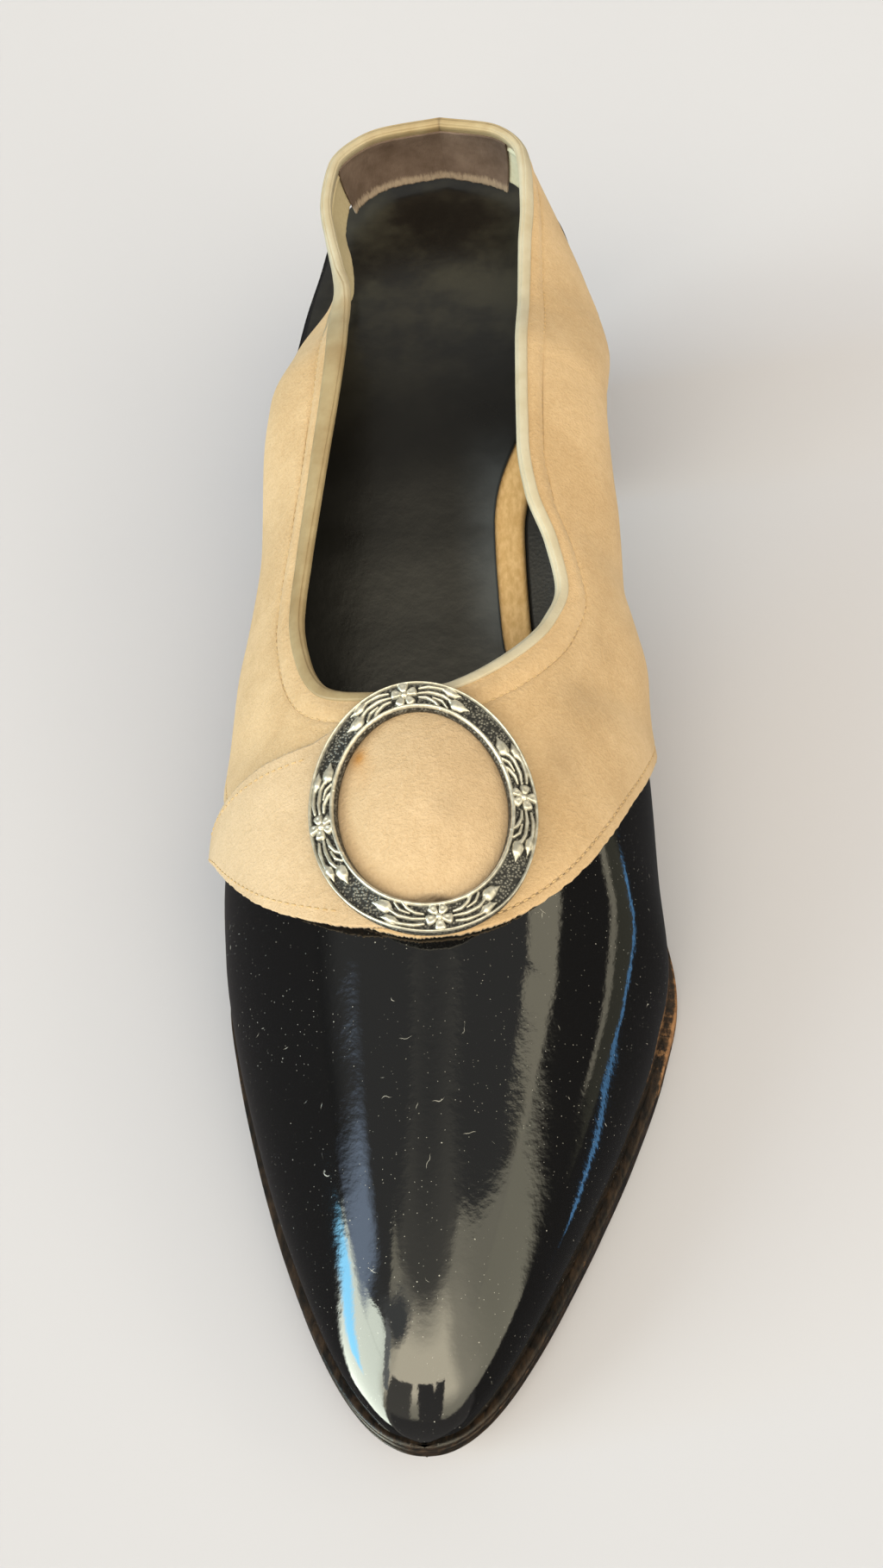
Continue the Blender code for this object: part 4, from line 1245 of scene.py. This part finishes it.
def binding_frame(side, ribs):
    """Upper edge of the band in its middle, the way out of it, and the way up along it."""
    edge = suede_face(side, ribs, np.ones_like(ribs), SUEDE / 2)
    below = suede_face(side, ribs, np.full_like(ribs, BELOW_EDGE), SUEDE / 2)
    along = np.gradient(edge, axis=0)
    upward = edge - below
    leaning = along * np.sum(upward * along, -1, keepdims=True) / np.sum(along**2, -1, keepdims=True)
    upward = unit(upward - leaning)
    outward = unit(np.cross(along, upward)) * SIDES[side]
    return edge, outward, upward


def binding_section(ribs, side):
    """Section of the folded binding at each rib as (out, up) from the suede's edge.

    A rounded top with two pressed lines, and legs down both faces of the suede: superellipse in its upper half, drawn
    out below by each leg's length.
    """
    turn = np.linspace(0, 2 * math.pi, BINDING_SIDES + 1)[None, :-1]
    outer_leg = read(BINDING_LEGS, BINDING_COLUMNS, side, ribs)[:, None]
    inner_leg = read(BINDING_LEGS, BINDING_COLUMNS, side + "_in", ribs)[:, None]
    leg = mix(inner_leg, outer_leg, smoothstep(*LEG_CHANGE, np.cos(turn)))
    pressed = sum(share * bell(turn, math.radians(at), width) for at, width, share in PRESSED_LINES)
    out = BINDING_HALF * np.sign(np.cos(turn)) * np.abs(np.cos(turn)) ** BINDING_SQUARE
    high = BINDING_BASE + BINDING_RISE * np.abs(np.sin(turn)) - PRESSED * pressed
    low = BINDING_BASE - leg * np.abs(np.sin(turn)) ** LEG_SQUARE
    return np.broadcast_to(out, low.shape), np.where(np.sin(turn) >= 0, high, low)


def add_binding(finish):
    """Folded binding over the whole topline: its section carried round the opening."""
    halves = []
    ribs = np.unique(np.concatenate([np.linspace(*run) for run in BINDING_RUNS]))
    for side in SIDES:
        edge, outward, upward = binding_frame(side, ribs)
        out, up = binding_section(ribs, side)
        halves.append(edge[:, None] + outward[:, None] * out[..., None] + upward[:, None] * up[..., None])
    lateral, medial = halves
    throat = (lateral[:1] + medial[:1]) / 2
    back = (lateral[-1:] + medial[-1:]) / 2
    ring = np.concatenate([throat, lateral[1:-1], back, medial[-2:0:-1]])
    # pale: cream along the medial side, painted light on the lateral sling, and none at the back, where the brown is
    # painted shade.
    painted_light_lateral = bell(ribs, *PALE_LATERAL) * smoothstep(*PALE_LATERAL_END, ribs)
    pale_medial = smoothstep(*PALE_MEDIAL_END, ribs)
    pale = np.concatenate([painted_light_lateral, pale_medial[-2:0:-1]])
    pale = np.mean([np.roll(pale, k) for k in range(-PALE_SOFT, PALE_SOFT + 1)], 0)[:, None]
    seam = SEAM * bell(np.arange(len(ring)), len(lateral) - 1, SEAM_WIDTH)[:, None]
    ring = Patch(ring, True, (True, True), pale=pale, seam=seam)
    add_piece("binding_looks", [ring], [finish], "topline_binding")


# Buckle.

# Height of its ground, its rims as (distance of their middle from the edge, half-width), heights of its walls' points
# as shares of its face's, and how far the walls stand out past the face, as a share of the oval.
BUCKLE_GROUND = 0.9
OUTER_RIM = (0.26, 0.27)
INNER_RIM = (0.38, 0.4)
BUCKLE_DROPS = (0.66, 0.33, 0.0)
BUCKLE_FLARE = 0.004

# Flowers: how many, their petals, how far the first one is turned as a share of a petal's turn, how far out their
# middles lie, their half-length, how their width grows outwards, the height of their edge and of their middle above it,
# and the dish in that. Then the bead's radius and heights.
FLOWERS = 4
FLOWER_PETALS = 5
FLOWER_TURN = 0.25
PETAL_REACH = 1.26
PETAL_RADIUS = 0.86
PETAL_WIDTH = (0.84, 0.36)
PETAL_EDGE = 1.25
PETAL_RISE = 0.75
PETAL_DISH = 0.18
PETAL_DISH_WIDTH = 0.5
BEAD = 0.54
BEAD_EDGE = 1.45
BEAD_RISE = 0.6

# Leaf spray beside a flower, as points (along, across, width, height) of its strokes: along from the flower's middle,
# across from -1 at the inner rim to 1 at the outer one.
STEMS = (
    ((2.4, 0.46, 0.28, 1.6), (3.8, 0.6, 0.36, 1.78), (6.4, 0.64, 0.3, 1.72)),
    ((2.3, 0.09, 0.26, 1.6), (4.0, 0.18, 0.36, 1.8), (6.2, 0.14, 0.36, 1.78), (7.8, -0.08, 0.32, 1.72)),
    ((2.4, -0.21, 0.28, 1.6), (3.6, -0.24, 0.36, 1.78), (5.1, -0.5, 0.36, 1.8), (6.2, -0.9, 0.32, 1.76)),
    ((4.6, -0.16, 0.22, 1.6), (6.2, -0.28, 0.32, 1.76), (7.3, -0.64, 0.26, 1.7)),
)
LEAVES = (
    ((7.5, -0.1, 0.4, 1.66), (8.5, -0.18, 1.1, 1.9), (9.3, -0.18, 0.98, 1.86), (11.0, -0.02, 0.08, 1.4)),
    ((6.0, 0.6, 0.32, 1.66), (7.0, 0.54, 0.78, 1.84), (7.8, 0.5, 0.66, 1.8), (9.0, 0.62, 0.08, 1.4)),
)


def stroke_height(along, across, stroke, half_width):
    """Height of a drawn stroke: a rounded ridge whose width and height change evenly between its points."""
    total = np.zeros(along.shape)
    for start, end in zip(stroke, stroke[1:]):
        a0, b0, w0, h0 = start
        a1, b1, w1, h1 = end
        b0, b1 = b0 * half_width, b1 * half_width
        length = (a1 - a0) ** 2 + (b1 - b0) ** 2
        t = np.clip(((along - a0) * (a1 - a0) + (across - b0) * (b1 - b0)) / length, 0, 1)
        gone = np.hypot(along - mix(a0, a1, t), across - mix(b0, b1, t))
        round_top = np.sqrt(np.clip(1 - (gone / mix(w0, w1, t)) ** 2, 0, 1))
        rise = BUCKLE_GROUND + (mix(h0, h1, t) - BUCKLE_GROUND) * round_top
        total = np.maximum(total, np.where(round_top > 0, rise, 0))
    return total


def flower_height(along, across):
    """Five dished petals, apart from each other, round a bead."""
    total = np.zeros(along.shape)
    for k in range(FLOWER_PETALS):
        angle = 2 * math.pi * (k + FLOWER_TURN) / FLOWER_PETALS
        out = along * math.cos(angle) + across * math.sin(angle) - PETAL_REACH
        over = across * math.cos(angle) - along * math.sin(angle)
        wide = PETAL_RADIUS * (PETAL_WIDTH[0] + PETAL_WIDTH[1] * np.clip(out, -1, 1))
        gone = (np.abs(out / PETAL_RADIUS) ** 3 + np.abs(over / wide) ** 3) ** (1 / 3)
        dish = PETAL_DISH * bell(gone, 0, PETAL_DISH_WIDTH)
        petal = PETAL_EDGE + PETAL_RISE * np.sqrt(np.clip(1 - gone**3, 0, 1)) - dish
        total = np.maximum(total, np.where(gone < 1, petal, 0))
    from_bead = np.hypot(along, across) / BEAD
    bead = BEAD_EDGE + BEAD_RISE * np.sqrt(np.clip(1 - from_bead**2, 0, 1))
    return np.maximum(total, np.where(from_bead < 1, bead, 0))


def buckle_plan(turn, share):
    """Place on the bare vamp of a point of the leaning oval."""
    flat_x = BUCKLE_ACROSS * share * np.cos(turn)
    flat_y = BUCKLE_ALONG * share * np.sin(turn)
    x = BUCKLE_X + flat_x * math.cos(BUCKLE_LEAN) - flat_y * math.sin(BUCKLE_LEAN)
    y = BUCKLE_Y + flat_y * math.cos(BUCKLE_LEAN) + flat_x * math.sin(BUCKLE_LEAN)
    return x, y


def buckle_point(turn, share, height):
    """Point of the buckle by its turn round the oval, its share of the outer oval and its height off the strap."""
    x, y = buckle_plan(turn, share)
    return vamp_point(across_at(x, y), y, BUCKLE_LIFT + height)


def buckle_height(turn, cross):
    """Height of the buckle's face: raised rims, a flower on each axis, and leaf sprays on both sides of it."""
    top = np.full(len(turn), BUCKLE)
    shares = (BUCKLE_INNER, (1 + BUCKLE_INNER) / 2, 1.0)
    inner, middle, outer = (buckle_point(turn[:, 0], np.full(len(turn), share), top) for share in shares)
    half_width = np.linalg.norm(outer - inner, axis=-1)[:, None] / 2
    run = run_along(np.concatenate([middle, middle[:1]]))
    total_run, run = run[-1], run[:-1]
    across = cross * half_width
    height = np.full(across.shape, BUCKLE_GROUND)
    for edge, (middle_in, half) in ((half_width - across, OUTER_RIM), (half_width + across, INNER_RIM)):
        rim = np.sqrt(np.clip(1 - ((edge - middle_in) / half) ** 2, 0, 1))
        height = np.maximum(height, BUCKLE_GROUND + (BUCKLE - BUCKLE_GROUND) * rim)
    for flower in range(FLOWERS):
        centre = run[int(round(flower * len(run) / FLOWERS)) % len(run)]
        along = (run[:, None] - centre + total_run / 2) % total_run - total_run / 2
        along = np.broadcast_to(along, across.shape)
        height = np.maximum(height, flower_height(along, across))
        for way in (-1, 1):
            for stroke in STEMS + LEAVES:
                height = np.maximum(height, stroke_height(way * along, across, stroke, np.mean(half_width)))
    return height


def add_buckle(finish):
    """Oval buckle with its relief: the face's height on a grid, closed by its two walls and its underside."""
    turn = np.linspace(0, 2 * math.pi, BUCKLE_STEPS + 1)[:-1, None]
    cross = np.linspace(-1, 1, BUCKLE_TOP_ROWS)[None, :]
    face = buckle_height(turn, cross)
    share = mix(BUCKLE_INNER, 1, (np.broadcast_to(cross, face.shape) + 1) / 2)
    drop = np.array(BUCKLE_DROPS)[None, :]
    wall = np.ones((len(turn), len(BUCKLE_DROPS)))
    share = np.concatenate([share, wall * (1 + BUCKLE_FLARE), wall * (BUCKLE_INNER - BUCKLE_FLARE)], 1)
    height = np.concatenate([face, face[:, -1:] * drop, face[:, :1] * drop[:, ::-1]], 1)
    grid = buckle_point(np.broadcast_to(turn, share.shape), share, height)
    relief = np.clip((height - BUCKLE_GROUND) / (BUCKLE - BUCKLE_GROUND), 0, 1)
    ring = Patch(grid, True, (True, True), relief=relief)
    add_piece("buckle_looks", [ring], [finish], "buckle")


# Sole, insole and sock.

# Edge section of the sole from its top face to its bottom one, as (outset, height).
SOLE_EDGE = (
    (-0.5, 0.0),
    (-0.1, -0.1),
    (0.0, -0.35),
    (0.0, -0.85),
    (-0.28, -1.05),
    (0.0, -1.25),
    (0.02, -1.9),
    (0.0, -2.45),
    (-0.16, -2.6),
    (0.0, -2.75),
    (-0.05, -3.2),
    (-0.2, -3.42),
    (-0.6, -3.5),
)

# Half-round edge section of the insole and the sock: its points, and how far it reaches in at most.
ROUND_STEPS = 9
ROUND_REACH = 1.0

# Wear of the sole's edge: middle along the shoe, reach and strength at the ball of each side, and elsewhere. Depths
# below its top face between which its lip starts, its lip ends, and its lower edge starts, and that edge's share.
BALL_WEAR = {"lateral": (-60, 30, 0.4), "medial": (-50, 16, 1.0)}
LEAST_WEAR = 0.3
SOLE_LIP_START = (-0.1, 0.1)
SOLE_LIP_END = (2.2, 1.2)
SOLE_LOW_EDGE = (0.6, 2.6)
SOLE_LOW_SHARE = 0.6
TREAD_WITHIN = 0.03

# How far the insole stands out past its outline ahead of the seat, and where along the shoe the seat takes that in.
INSOLE_REACH = 0.5
SEAT_TAKES_IN = (40, 60)

# Front end of the sock, how far it lies inside the insole's outline, how much more along the medial arch, and where
# along the shoe that starts and ends.
SOCK_FRONT_Y = -112
SOCK_INSET = 1.2
ARCH_INSET = 3.6
ARCH_STARTS = (-40, 10)
ARCH_ENDS = (40, 78)


def outline(side, stations, margin):
    """Insole outline of one side, moved outwards in plan by a margin."""

    def place(station):
        """Point of the outline. Past either end it runs on along the other side."""
        y = y_of(1 - np.abs(1 - np.abs(station)))
        x = np.where((station < 0) | (station > 1), -1, 1) * bottom(side, y)
        return np.stack([SIDES[side] * x, y], -1)

    here = place(stations)
    forward = place(stations + STEP_STATION) - place(stations - STEP_STATION)
    normal = unit(np.stack([forward[..., 1], -forward[..., 0]], -1)) * SIDES[side]
    return here + normal * np.asarray(margin)[..., None]


def round_edge(thickness):
    """Half-round edge section of a sheet, from its top face to its bottom one."""
    turn = np.linspace(0, math.pi, ROUND_STEPS)
    reach = min(thickness / 2, ROUND_REACH)
    return [(reach * (math.sin(t) - 1), thickness / 2 * (math.cos(t) - 1)) for t in turn]


def footbed_slab(stations, margins, top, edge, rows, cut=(False, False)):
    """Sheet along the insole's curve: top face from the midline out, its edge section, bottom face back in.

    margins: how far each side's edge stands out past the insole's outline. top: height above the insole's underside.
    cut: whether its front and its back end are cut straight across. Heights grow with the slope, which is the rise over
    one millimetre, so that the sheet keeps its thickness.
    """
    outer = {side: outline(side, stations, margins[side]) for side in SIDES}
    midline = (outer["lateral"] + outer["medial"]) / 2
    patches = []
    for side in SIDES:
        rims = [outline(side, stations, margins[side] + out) for out, _ in edge]
        shares = np.linspace(0, 1, rows)[:-1]
        plan = [mix(midline, rims[0], share) for share in shares] + rims
        plan += [mix(midline, rims[-1], share) for share in shares[::-1]]
        drops = [0.0] * (rows - 1) + [drop for _, drop in edge] + [edge[-1][1]] * (rows - 1)
        plan = np.stack(plan, 1)
        height = top + np.array(drops)[None, :]
        x, y = plan[..., 0], plan[..., 1]
        slope = bottom("z", y + 0.5) - bottom("z", y - 0.5)
        grid = points(x, y, bottom("z", y) + height * np.hypot(1, slope))
        ends = [np.broadcast_to((row[:1] + row[-1:]) / 2, row.shape)[None] for row in (grid[0], grid[-1])]
        grid = np.concatenate(ends[:1] * cut[0] + [grid] + ends[1:] * cut[1])
        depth = np.broadcast_to(-np.array(drops)[None, :], grid.shape[:2])
        patches.append((side, grid, depth))
    return patches


def add_outsole(finish):
    """Leather sole from toe to heel breast, with the pressed lines of its edge, worn at the medial ball."""
    stations = np.linspace(0, station_of(SOLE_END_Y), SOLE_STATIONS)
    margin = bottom("margin", y_of(stations))
    slabs = footbed_slab(stations, {side: margin for side in SIDES}, -GAP, SOLE_EDGE, SOLE_ROWS, (False, True))
    patches = []
    for side, grid, depth in slabs:
        middle, reach, strength = BALL_WEAR[side]
        ball = strength * bell(grid[..., 1], middle, reach)
        lip = smoothstep(*SOLE_LIP_START, depth) * smoothstep(*SOLE_LIP_END, depth)
        low_edge = SOLE_LOW_SHARE * smoothstep(*SOLE_LOW_EDGE, depth)
        wear = np.maximum(ball, LEAST_WEAR) * np.maximum(lip, low_edge)
        tread = (depth > SOLE - TREAD_WITHIN).astype(float)
        patches.append(Patch(grid, side == "medial", wear=wear, tread=tread))
    add_piece("outsole_looks", patches, [finish], "outsole")


def add_insole(finish):
    """Insole board from toe to heel, with a half-round edge."""
    stations = np.linspace(0, 1, FOOTBED_STATIONS)
    reach = mix(INSOLE_REACH, -GAP, smoothstep(*SEAT_TAKES_IN, y_of(stations)))
    slabs = footbed_slab(stations, {side: reach for side in SIDES}, INSOLE, round_edge(INSOLE), INSOLE_ROWS)
    patches = [Patch(grid, side == "medial") for side, grid, _ in slabs]
    add_piece("insole_looks", patches, [finish], "insole")


def add_sock(finish):
    """Sock lining: over the whole insole, but short of its edge along the arch, where the board shows."""
    stations = np.linspace(station_of(SOCK_FRONT_Y), 1, FOOTBED_STATIONS)
    y = y_of(stations)
    arch = smoothstep(*ARCH_STARTS, y) * (1 - smoothstep(*ARCH_ENDS, y))
    inset = {"lateral": np.full(len(y), -SOCK_INSET), "medial": -SOCK_INSET - ARCH_INSET * arch}
    slabs = footbed_slab(stations, inset, INSOLE + GAP + SOCK, round_edge(SOCK), SOCK_ROWS, (True, False))
    patches = [Patch(grid, side == "medial") for side, grid, _ in slabs]
    add_piece("sock_looks", patches, [finish], "sock")


# Heel.

# Rings of the top piece from its upper face to its lower one, as (inset, height).
TOP_PIECE_RINGS = ((0.9, TOP_PIECE), (0.0, TOP_PIECE), (0.0, 0.5), (0.15, 0.15), (0.5, 0.0), (0.9, 0.0))


def rounded_ring(ring):
    """Closed outline at an even pitch, with its corners rounded by averaging each point with its neighbours."""
    closed = np.concatenate([ring, ring[:1]])
    run = run_along(closed)
    even = read_run(np.linspace(0, run[-1], HEEL_POINTS + 1)[:-1], run, closed)
    pitch = run[-1] / HEEL_POINTS
    reach = int(round(HEEL_SOFT / pitch))
    return np.mean([np.roll(even, k, 0) for k in range(-reach, reach + 1)], 0)


def seat_ring():
    """Outline of the heel's seat: round the back between the breast's corners, then along the breast.

    Also gives how many of its points lie on the lateral side.
    """
    stations = np.linspace(station_of(BREAST_Y + GAP), 1, SEAT_STEPS)
    margin = np.full(len(stations), SEAT_MARGIN)
    left = outline("lateral", stations, margin)
    right = outline("medial", stations, margin)
    breast = mix(right[:1], left[:1], np.linspace(0, 1, BREAST_STEPS)[1:-1, None])
    return np.concatenate([left, right[-2::-1], breast]), len(left)


def foot_ring(seat, corner):
    """Outline of the heel's foot: a D with a round back, its points matched to the seat's."""
    front, back = seat[:, 1].min(), seat[:, 1].max()
    share = (seat[:, 1] - front) / (back - front)
    y = mix(HEEL_FOOT_FRONT, HEEL_FOOT_BACK, share)
    length = HEEL_FOOT_BACK - HEEL_FOOT_FRONT
    half = HEEL_FOOT_HALF * np.sqrt(np.clip(1 - ((y - HEEL_FOOT_FRONT) / length) ** HEEL_FOOT_ROUND, 0, 1))
    widest = np.where(seat[:, 0] < 0, -seat[0, 0], seat[2 * corner - 2, 0])
    x = np.where(share < 1e-3, seat[:, 0] / widest * HEEL_FOOT_HALF, np.sign(seat[:, 0]) * half)
    return np.stack([x, y], -1)


def capped(rings):
    """Stack of matching rings, closed by a last and a first row that draw together in their middles."""
    ends = [np.broadcast_to(ring.mean(0), ring.shape) for ring in (rings[0], rings[-1])]
    return np.stack([ends[0], *rings, ends[1]])


def add_heel(finish, rubber):
    """Covered heel, drawn in towards its foot, and the top piece that it stands on."""
    seat, corner = seat_ring()
    foot = foot_ring(seat, corner)
    rings = []
    for drop in np.linspace(0, 1, HEEL_RINGS):
        plan = rounded_ring(mix(seat, foot, 1 - (1 - drop) ** HEEL_CURVE))
        seat_z = bottom("z", plan[:, 1]) - GAP
        rings.append(points(plan[:, 0], plan[:, 1], mix(seat_z, TOP_PIECE + GAP, drop)))
    add_piece("heel_looks", [Patch(capped(rings), True, (False, True))], [finish], "heel")
    slab = []
    foot = rounded_ring(foot)
    outward = unit(foot - foot.mean(0))
    for inset, z in TOP_PIECE_RINGS:
        ring = foot - outward * inset
        slab.append(points(ring[:, 0], ring[:, 1], z))
    slab = Patch(capped(slab), True, (False, True))
    add_piece("top_piece_looks", [slab], [rubber], "top_piece")


# Heel grip.

# Ribs where it ends, how far it hangs below the band, how far up the band it reaches, how deep its lower edge frays,
# its upper edge's share of that, and the waves of both. Then its distance from the band's inner face, its thickness,
# where up it and how wide it is frayed, and the share of the band that gives the direction in which it hangs.
GRIP_ENDS = {"lateral": 22.0, "medial": 22.6}
GRIP_DROP = 2.2
GRIP_TOP = 0.95
GRIP_FRAY = 0.006
GRIP_TOP_FRAY = 0.5
FRAY_WAVES = ((23, 0), (57, 1))
GRIP_GAP = 0.6
GRIP = 0.45
FRAYED = (0.06, 0.12)
HANG_STEP = 0.1


def add_heel_grip(finish):
    """Suede grip inside the back of the sling: a thin sheet on the lining, a little frayed.

    Past the band's lower edge it hangs straight on in the band's own direction there.
    """
    grids = []
    for side in SIDES:
        ribs = np.linspace(GRIP_ENDS[side], BACK_RIB, GRIP_RIBS)[:, None]
        frayed = sum(GRIP_FRAY * np.sin(ribs * wave + start) for wave, start in FRAY_WAVES)
        hang = GRIP_DROP / band_height(side, ribs)
        share = np.linspace(0, 1, GRIP_ROWS)[None, :]
        up = mix(frayed - hang, GRIP_TOP + frayed * GRIP_TOP_FRAY, share)
        flat = np.clip(up, 0, 1)
        ribs = np.broadcast_to(ribs, up.shape)
        low, above = (suede_base(side, ribs, np.full(up.shape, at)) for at in (0.0, HANG_STEP))
        lining = suede_base(side, ribs, flat) - GRIP_GAP * suede_normal(side, ribs, flat)
        grids.append(lining + (above - low) * (1 / HANG_STEP) * (up - flat)[..., None])
    lateral, medial = grids
    sheet = np.concatenate([lateral[:-1], (lateral[-1:] + medial[-1:]) / 2, medial[-2::-1]])
    patches = [Patch(sheet, True, fray=bell(share, *FRAYED))]
    add_piece("heel_grip", patches, [finish], wall=GRIP)


# Stage.

# Camera: place, what it looks at, lens in millimetres, roll in radians and nearest distance in metres. The floor's
# half-size is in metres too.
CAMERA_PLACE = np.array([32.565, -251.483, 305.640])
CAMERA_TARGET = np.array([0.99, -19.25, 30.0])
CAMERA_LENS = 49.48
CAMERA_ROLL = -0.1357
CAMERA_CLIP = 0.01
FLOOR_HALF = 4.0
FLOOR_COLOUR = (0.56, 0.565, 0.66)


def add_camera():
    """Camera at the photo's place, turned to the middle of the one shoe."""
    camera = new_object("camera", bpy.data.cameras.new("camera"))
    place = Vector((CAMERA_PLACE + ORIGIN_SHIFT) * MM)
    target = Vector((CAMERA_TARGET + ORIGIN_SHIFT) * MM)
    turn = (target - place).to_track_quat("-Z", "Y").to_matrix().to_4x4()
    camera.matrix_world = Matrix.Translation(place) @ turn @ Matrix.Rotation(CAMERA_ROLL, 4, "Z")
    camera.data.lens = CAMERA_LENS
    camera.data.clip_start = CAMERA_CLIP
    bpy.context.scene.camera = camera


def add_floor():
    """Pale matt floor, which the patent doesn't mirror."""
    mesh = bpy.data.meshes.new("floor")
    corners = [(x * FLOOR_HALF, y * FLOOR_HALF, 0) for x, y in ((-1, -1), (1, -1), (1, 1), (-1, 1))]
    mesh.from_pydata(corners, [], [(0, 1, 2, 3)])
    floor = new_object("floor", mesh)
    paint = Finish("floor", Roughness=0.9, Specular_IOR_Level=0.2)
    paint.set("Base Color", FLOOR_COLOUR)
    mesh.materials.append(paint.material)
    floor.visible_glossy = False


# Room that the patent mirrors, as panels (left, right, low, high, lean, soft, light): bearing from the toe (medial side
# positive) and elevation, in degrees. Later panels lie over earlier ones. lean: how far a panel moves in bearing with
# each degree above its low edge. soft: how far an edge fades. light: red, green and blue radiance.
ROOM = (
    (-180, 180, 38, 91, 0, 8, (0.24, 0.24, 0.23)),
    (-60, 64, 62, 80, 0, 8, (0.5, 0.48, 0.41)),
    (-84, -42, -40, 29, 0, 2, (7.6, 8.2, 7.0)),
    (-84, -42, 28, 42, 1.6, 2, (7.6, 8.2, 7.0)),
    (-78, -69, -8, 24, -0.35, 2.5, (3.2, 8.2, 11.8)),
    (-85, -72, 28, 50, 0, 4, (1.5, 1.9, 2.5)),
    (-45, 84.5, -14, 36, 0.03, 2, (1.7, 1.6, 1.2)),
    (-45, 84, 34, 64, -0.65, 2.5, (1.6, 1.5, 1.15)),
    (84, 125, 33, 48, 0, 1.6, (1.9, 1.75, 1.3)),
    (92, 125, -14, 1, 0, 1.5, (0.24, 0.235, 0.17)),
    (92, 125, -1, 3.5, 0, 1.2, (1.3, 1.2, 0.9)),
    (-45, 66, -4, 60, -0.1, 12, (2.5, 2.3, 1.75)),
    (-45, 42, 6, 60, 0, 10, (5.2, 4.7, 3.5)),
    (-66, -44, 44, 64, 1.0, 5, (0.45, 0.47, 0.46)),
    (-46, -39, 8, 46, -0.3, 1.2, (1.2, 1.25, 1.2)),
    (-40, -14, -60, 26, 0, 1.2, (0.5, 0.47, 0.4)),
    (-8, 10, -14, 27, 0, 1.2, (0.22, 0.21, 0.2)),
    (-2, 10, -14, 27, 0.4, 1.2, (0.22, 0.21, 0.2)),
    (-36, 58, -60, -13, 0, 3, (0.2, 0.19, 0.18)),
    (-180, -85, -60, 30, 0, 2, (0.075, 0.07, 0.068)),
    (96.3, 98, -37, -14, 0.04, 0.6, (0.5, 1.3, 2.4)),
    (97.5, 125, -15.2, -13.4, 0, 0.6, (0.5, 1.3, 2.4)),
    (-200, -140, 12, 60, 0, 8, (0.5, 0.5, 0.47)),
    (140, 200, 12, 60, 0, 8, (0.5, 0.5, 0.47)),
)
ROOM_DARK = (0.055, 0.053, 0.052)
BACKDROP = (0.86, 0.855, 0.84)


def add_light():
    """Soft room light from the panels of the room's table. The camera sees a plain pale backdrop instead."""
    world = bpy.data.worlds.new("studio")
    bpy.context.scene.world = world
    world.use_nodes = True
    paint = Paint(world.node_tree)
    here = paint.node("ShaderNodeTexCoord", output=0)
    x, y, z = (paint.node("ShaderNodeSeparateXYZ", {}, {0: here}, axis) for axis in range(3))
    bearing = x.maths("ARCTAN2", x, y * -1.0) * math.degrees(1)
    rise = x.maths("ARCSINE", z) * math.degrees(1)
    light = ROOM_DARK
    for left, right, low, high, lean, soft, colour in ROOM:
        panel = (bearing - (rise - low) * lean).within(left, right, soft) * rise.within(low, high, soft)
        light = paint.blend(panel, light, colour)
    seen = paint.node("ShaderNodeLightPath")
    paint.feed(paint.tree.nodes["Background"].inputs["Color"], paint.blend(seen, light, BACKDROP))


def main():
    """Pieces with their finishes, then the stage."""
    bpy.context.scene.view_settings.view_transform = "Standard"
    patent = patent_finish()
    suede = suede_finish("suede", (0.57, 0.41, 0.255), (0.42, 0.28, 0.152))
    strap = suede_finish("strap_suede", (0.57, 0.425, 0.29), (0.43, 0.305, 0.19))
    add_upper([patent, quarter_lining_finish()])
    add_suede_band([suede, sling_lining_finish()])
    add_strap([strap])
    add_stitches(suede_finish("thread", (0.6, 0.44, 0.25), (0.42, 0.28, 0.14)))
    add_binding(binding_finish())
    add_buckle(silver_finish())
    add_outsole(sole_finish())
    add_insole(board_finish())
    add_sock(sock_finish())
    add_heel(patent, rubber_finish())
    add_heel_grip(grip_finish())
    add_camera()
    add_floor()
    add_light()


main()
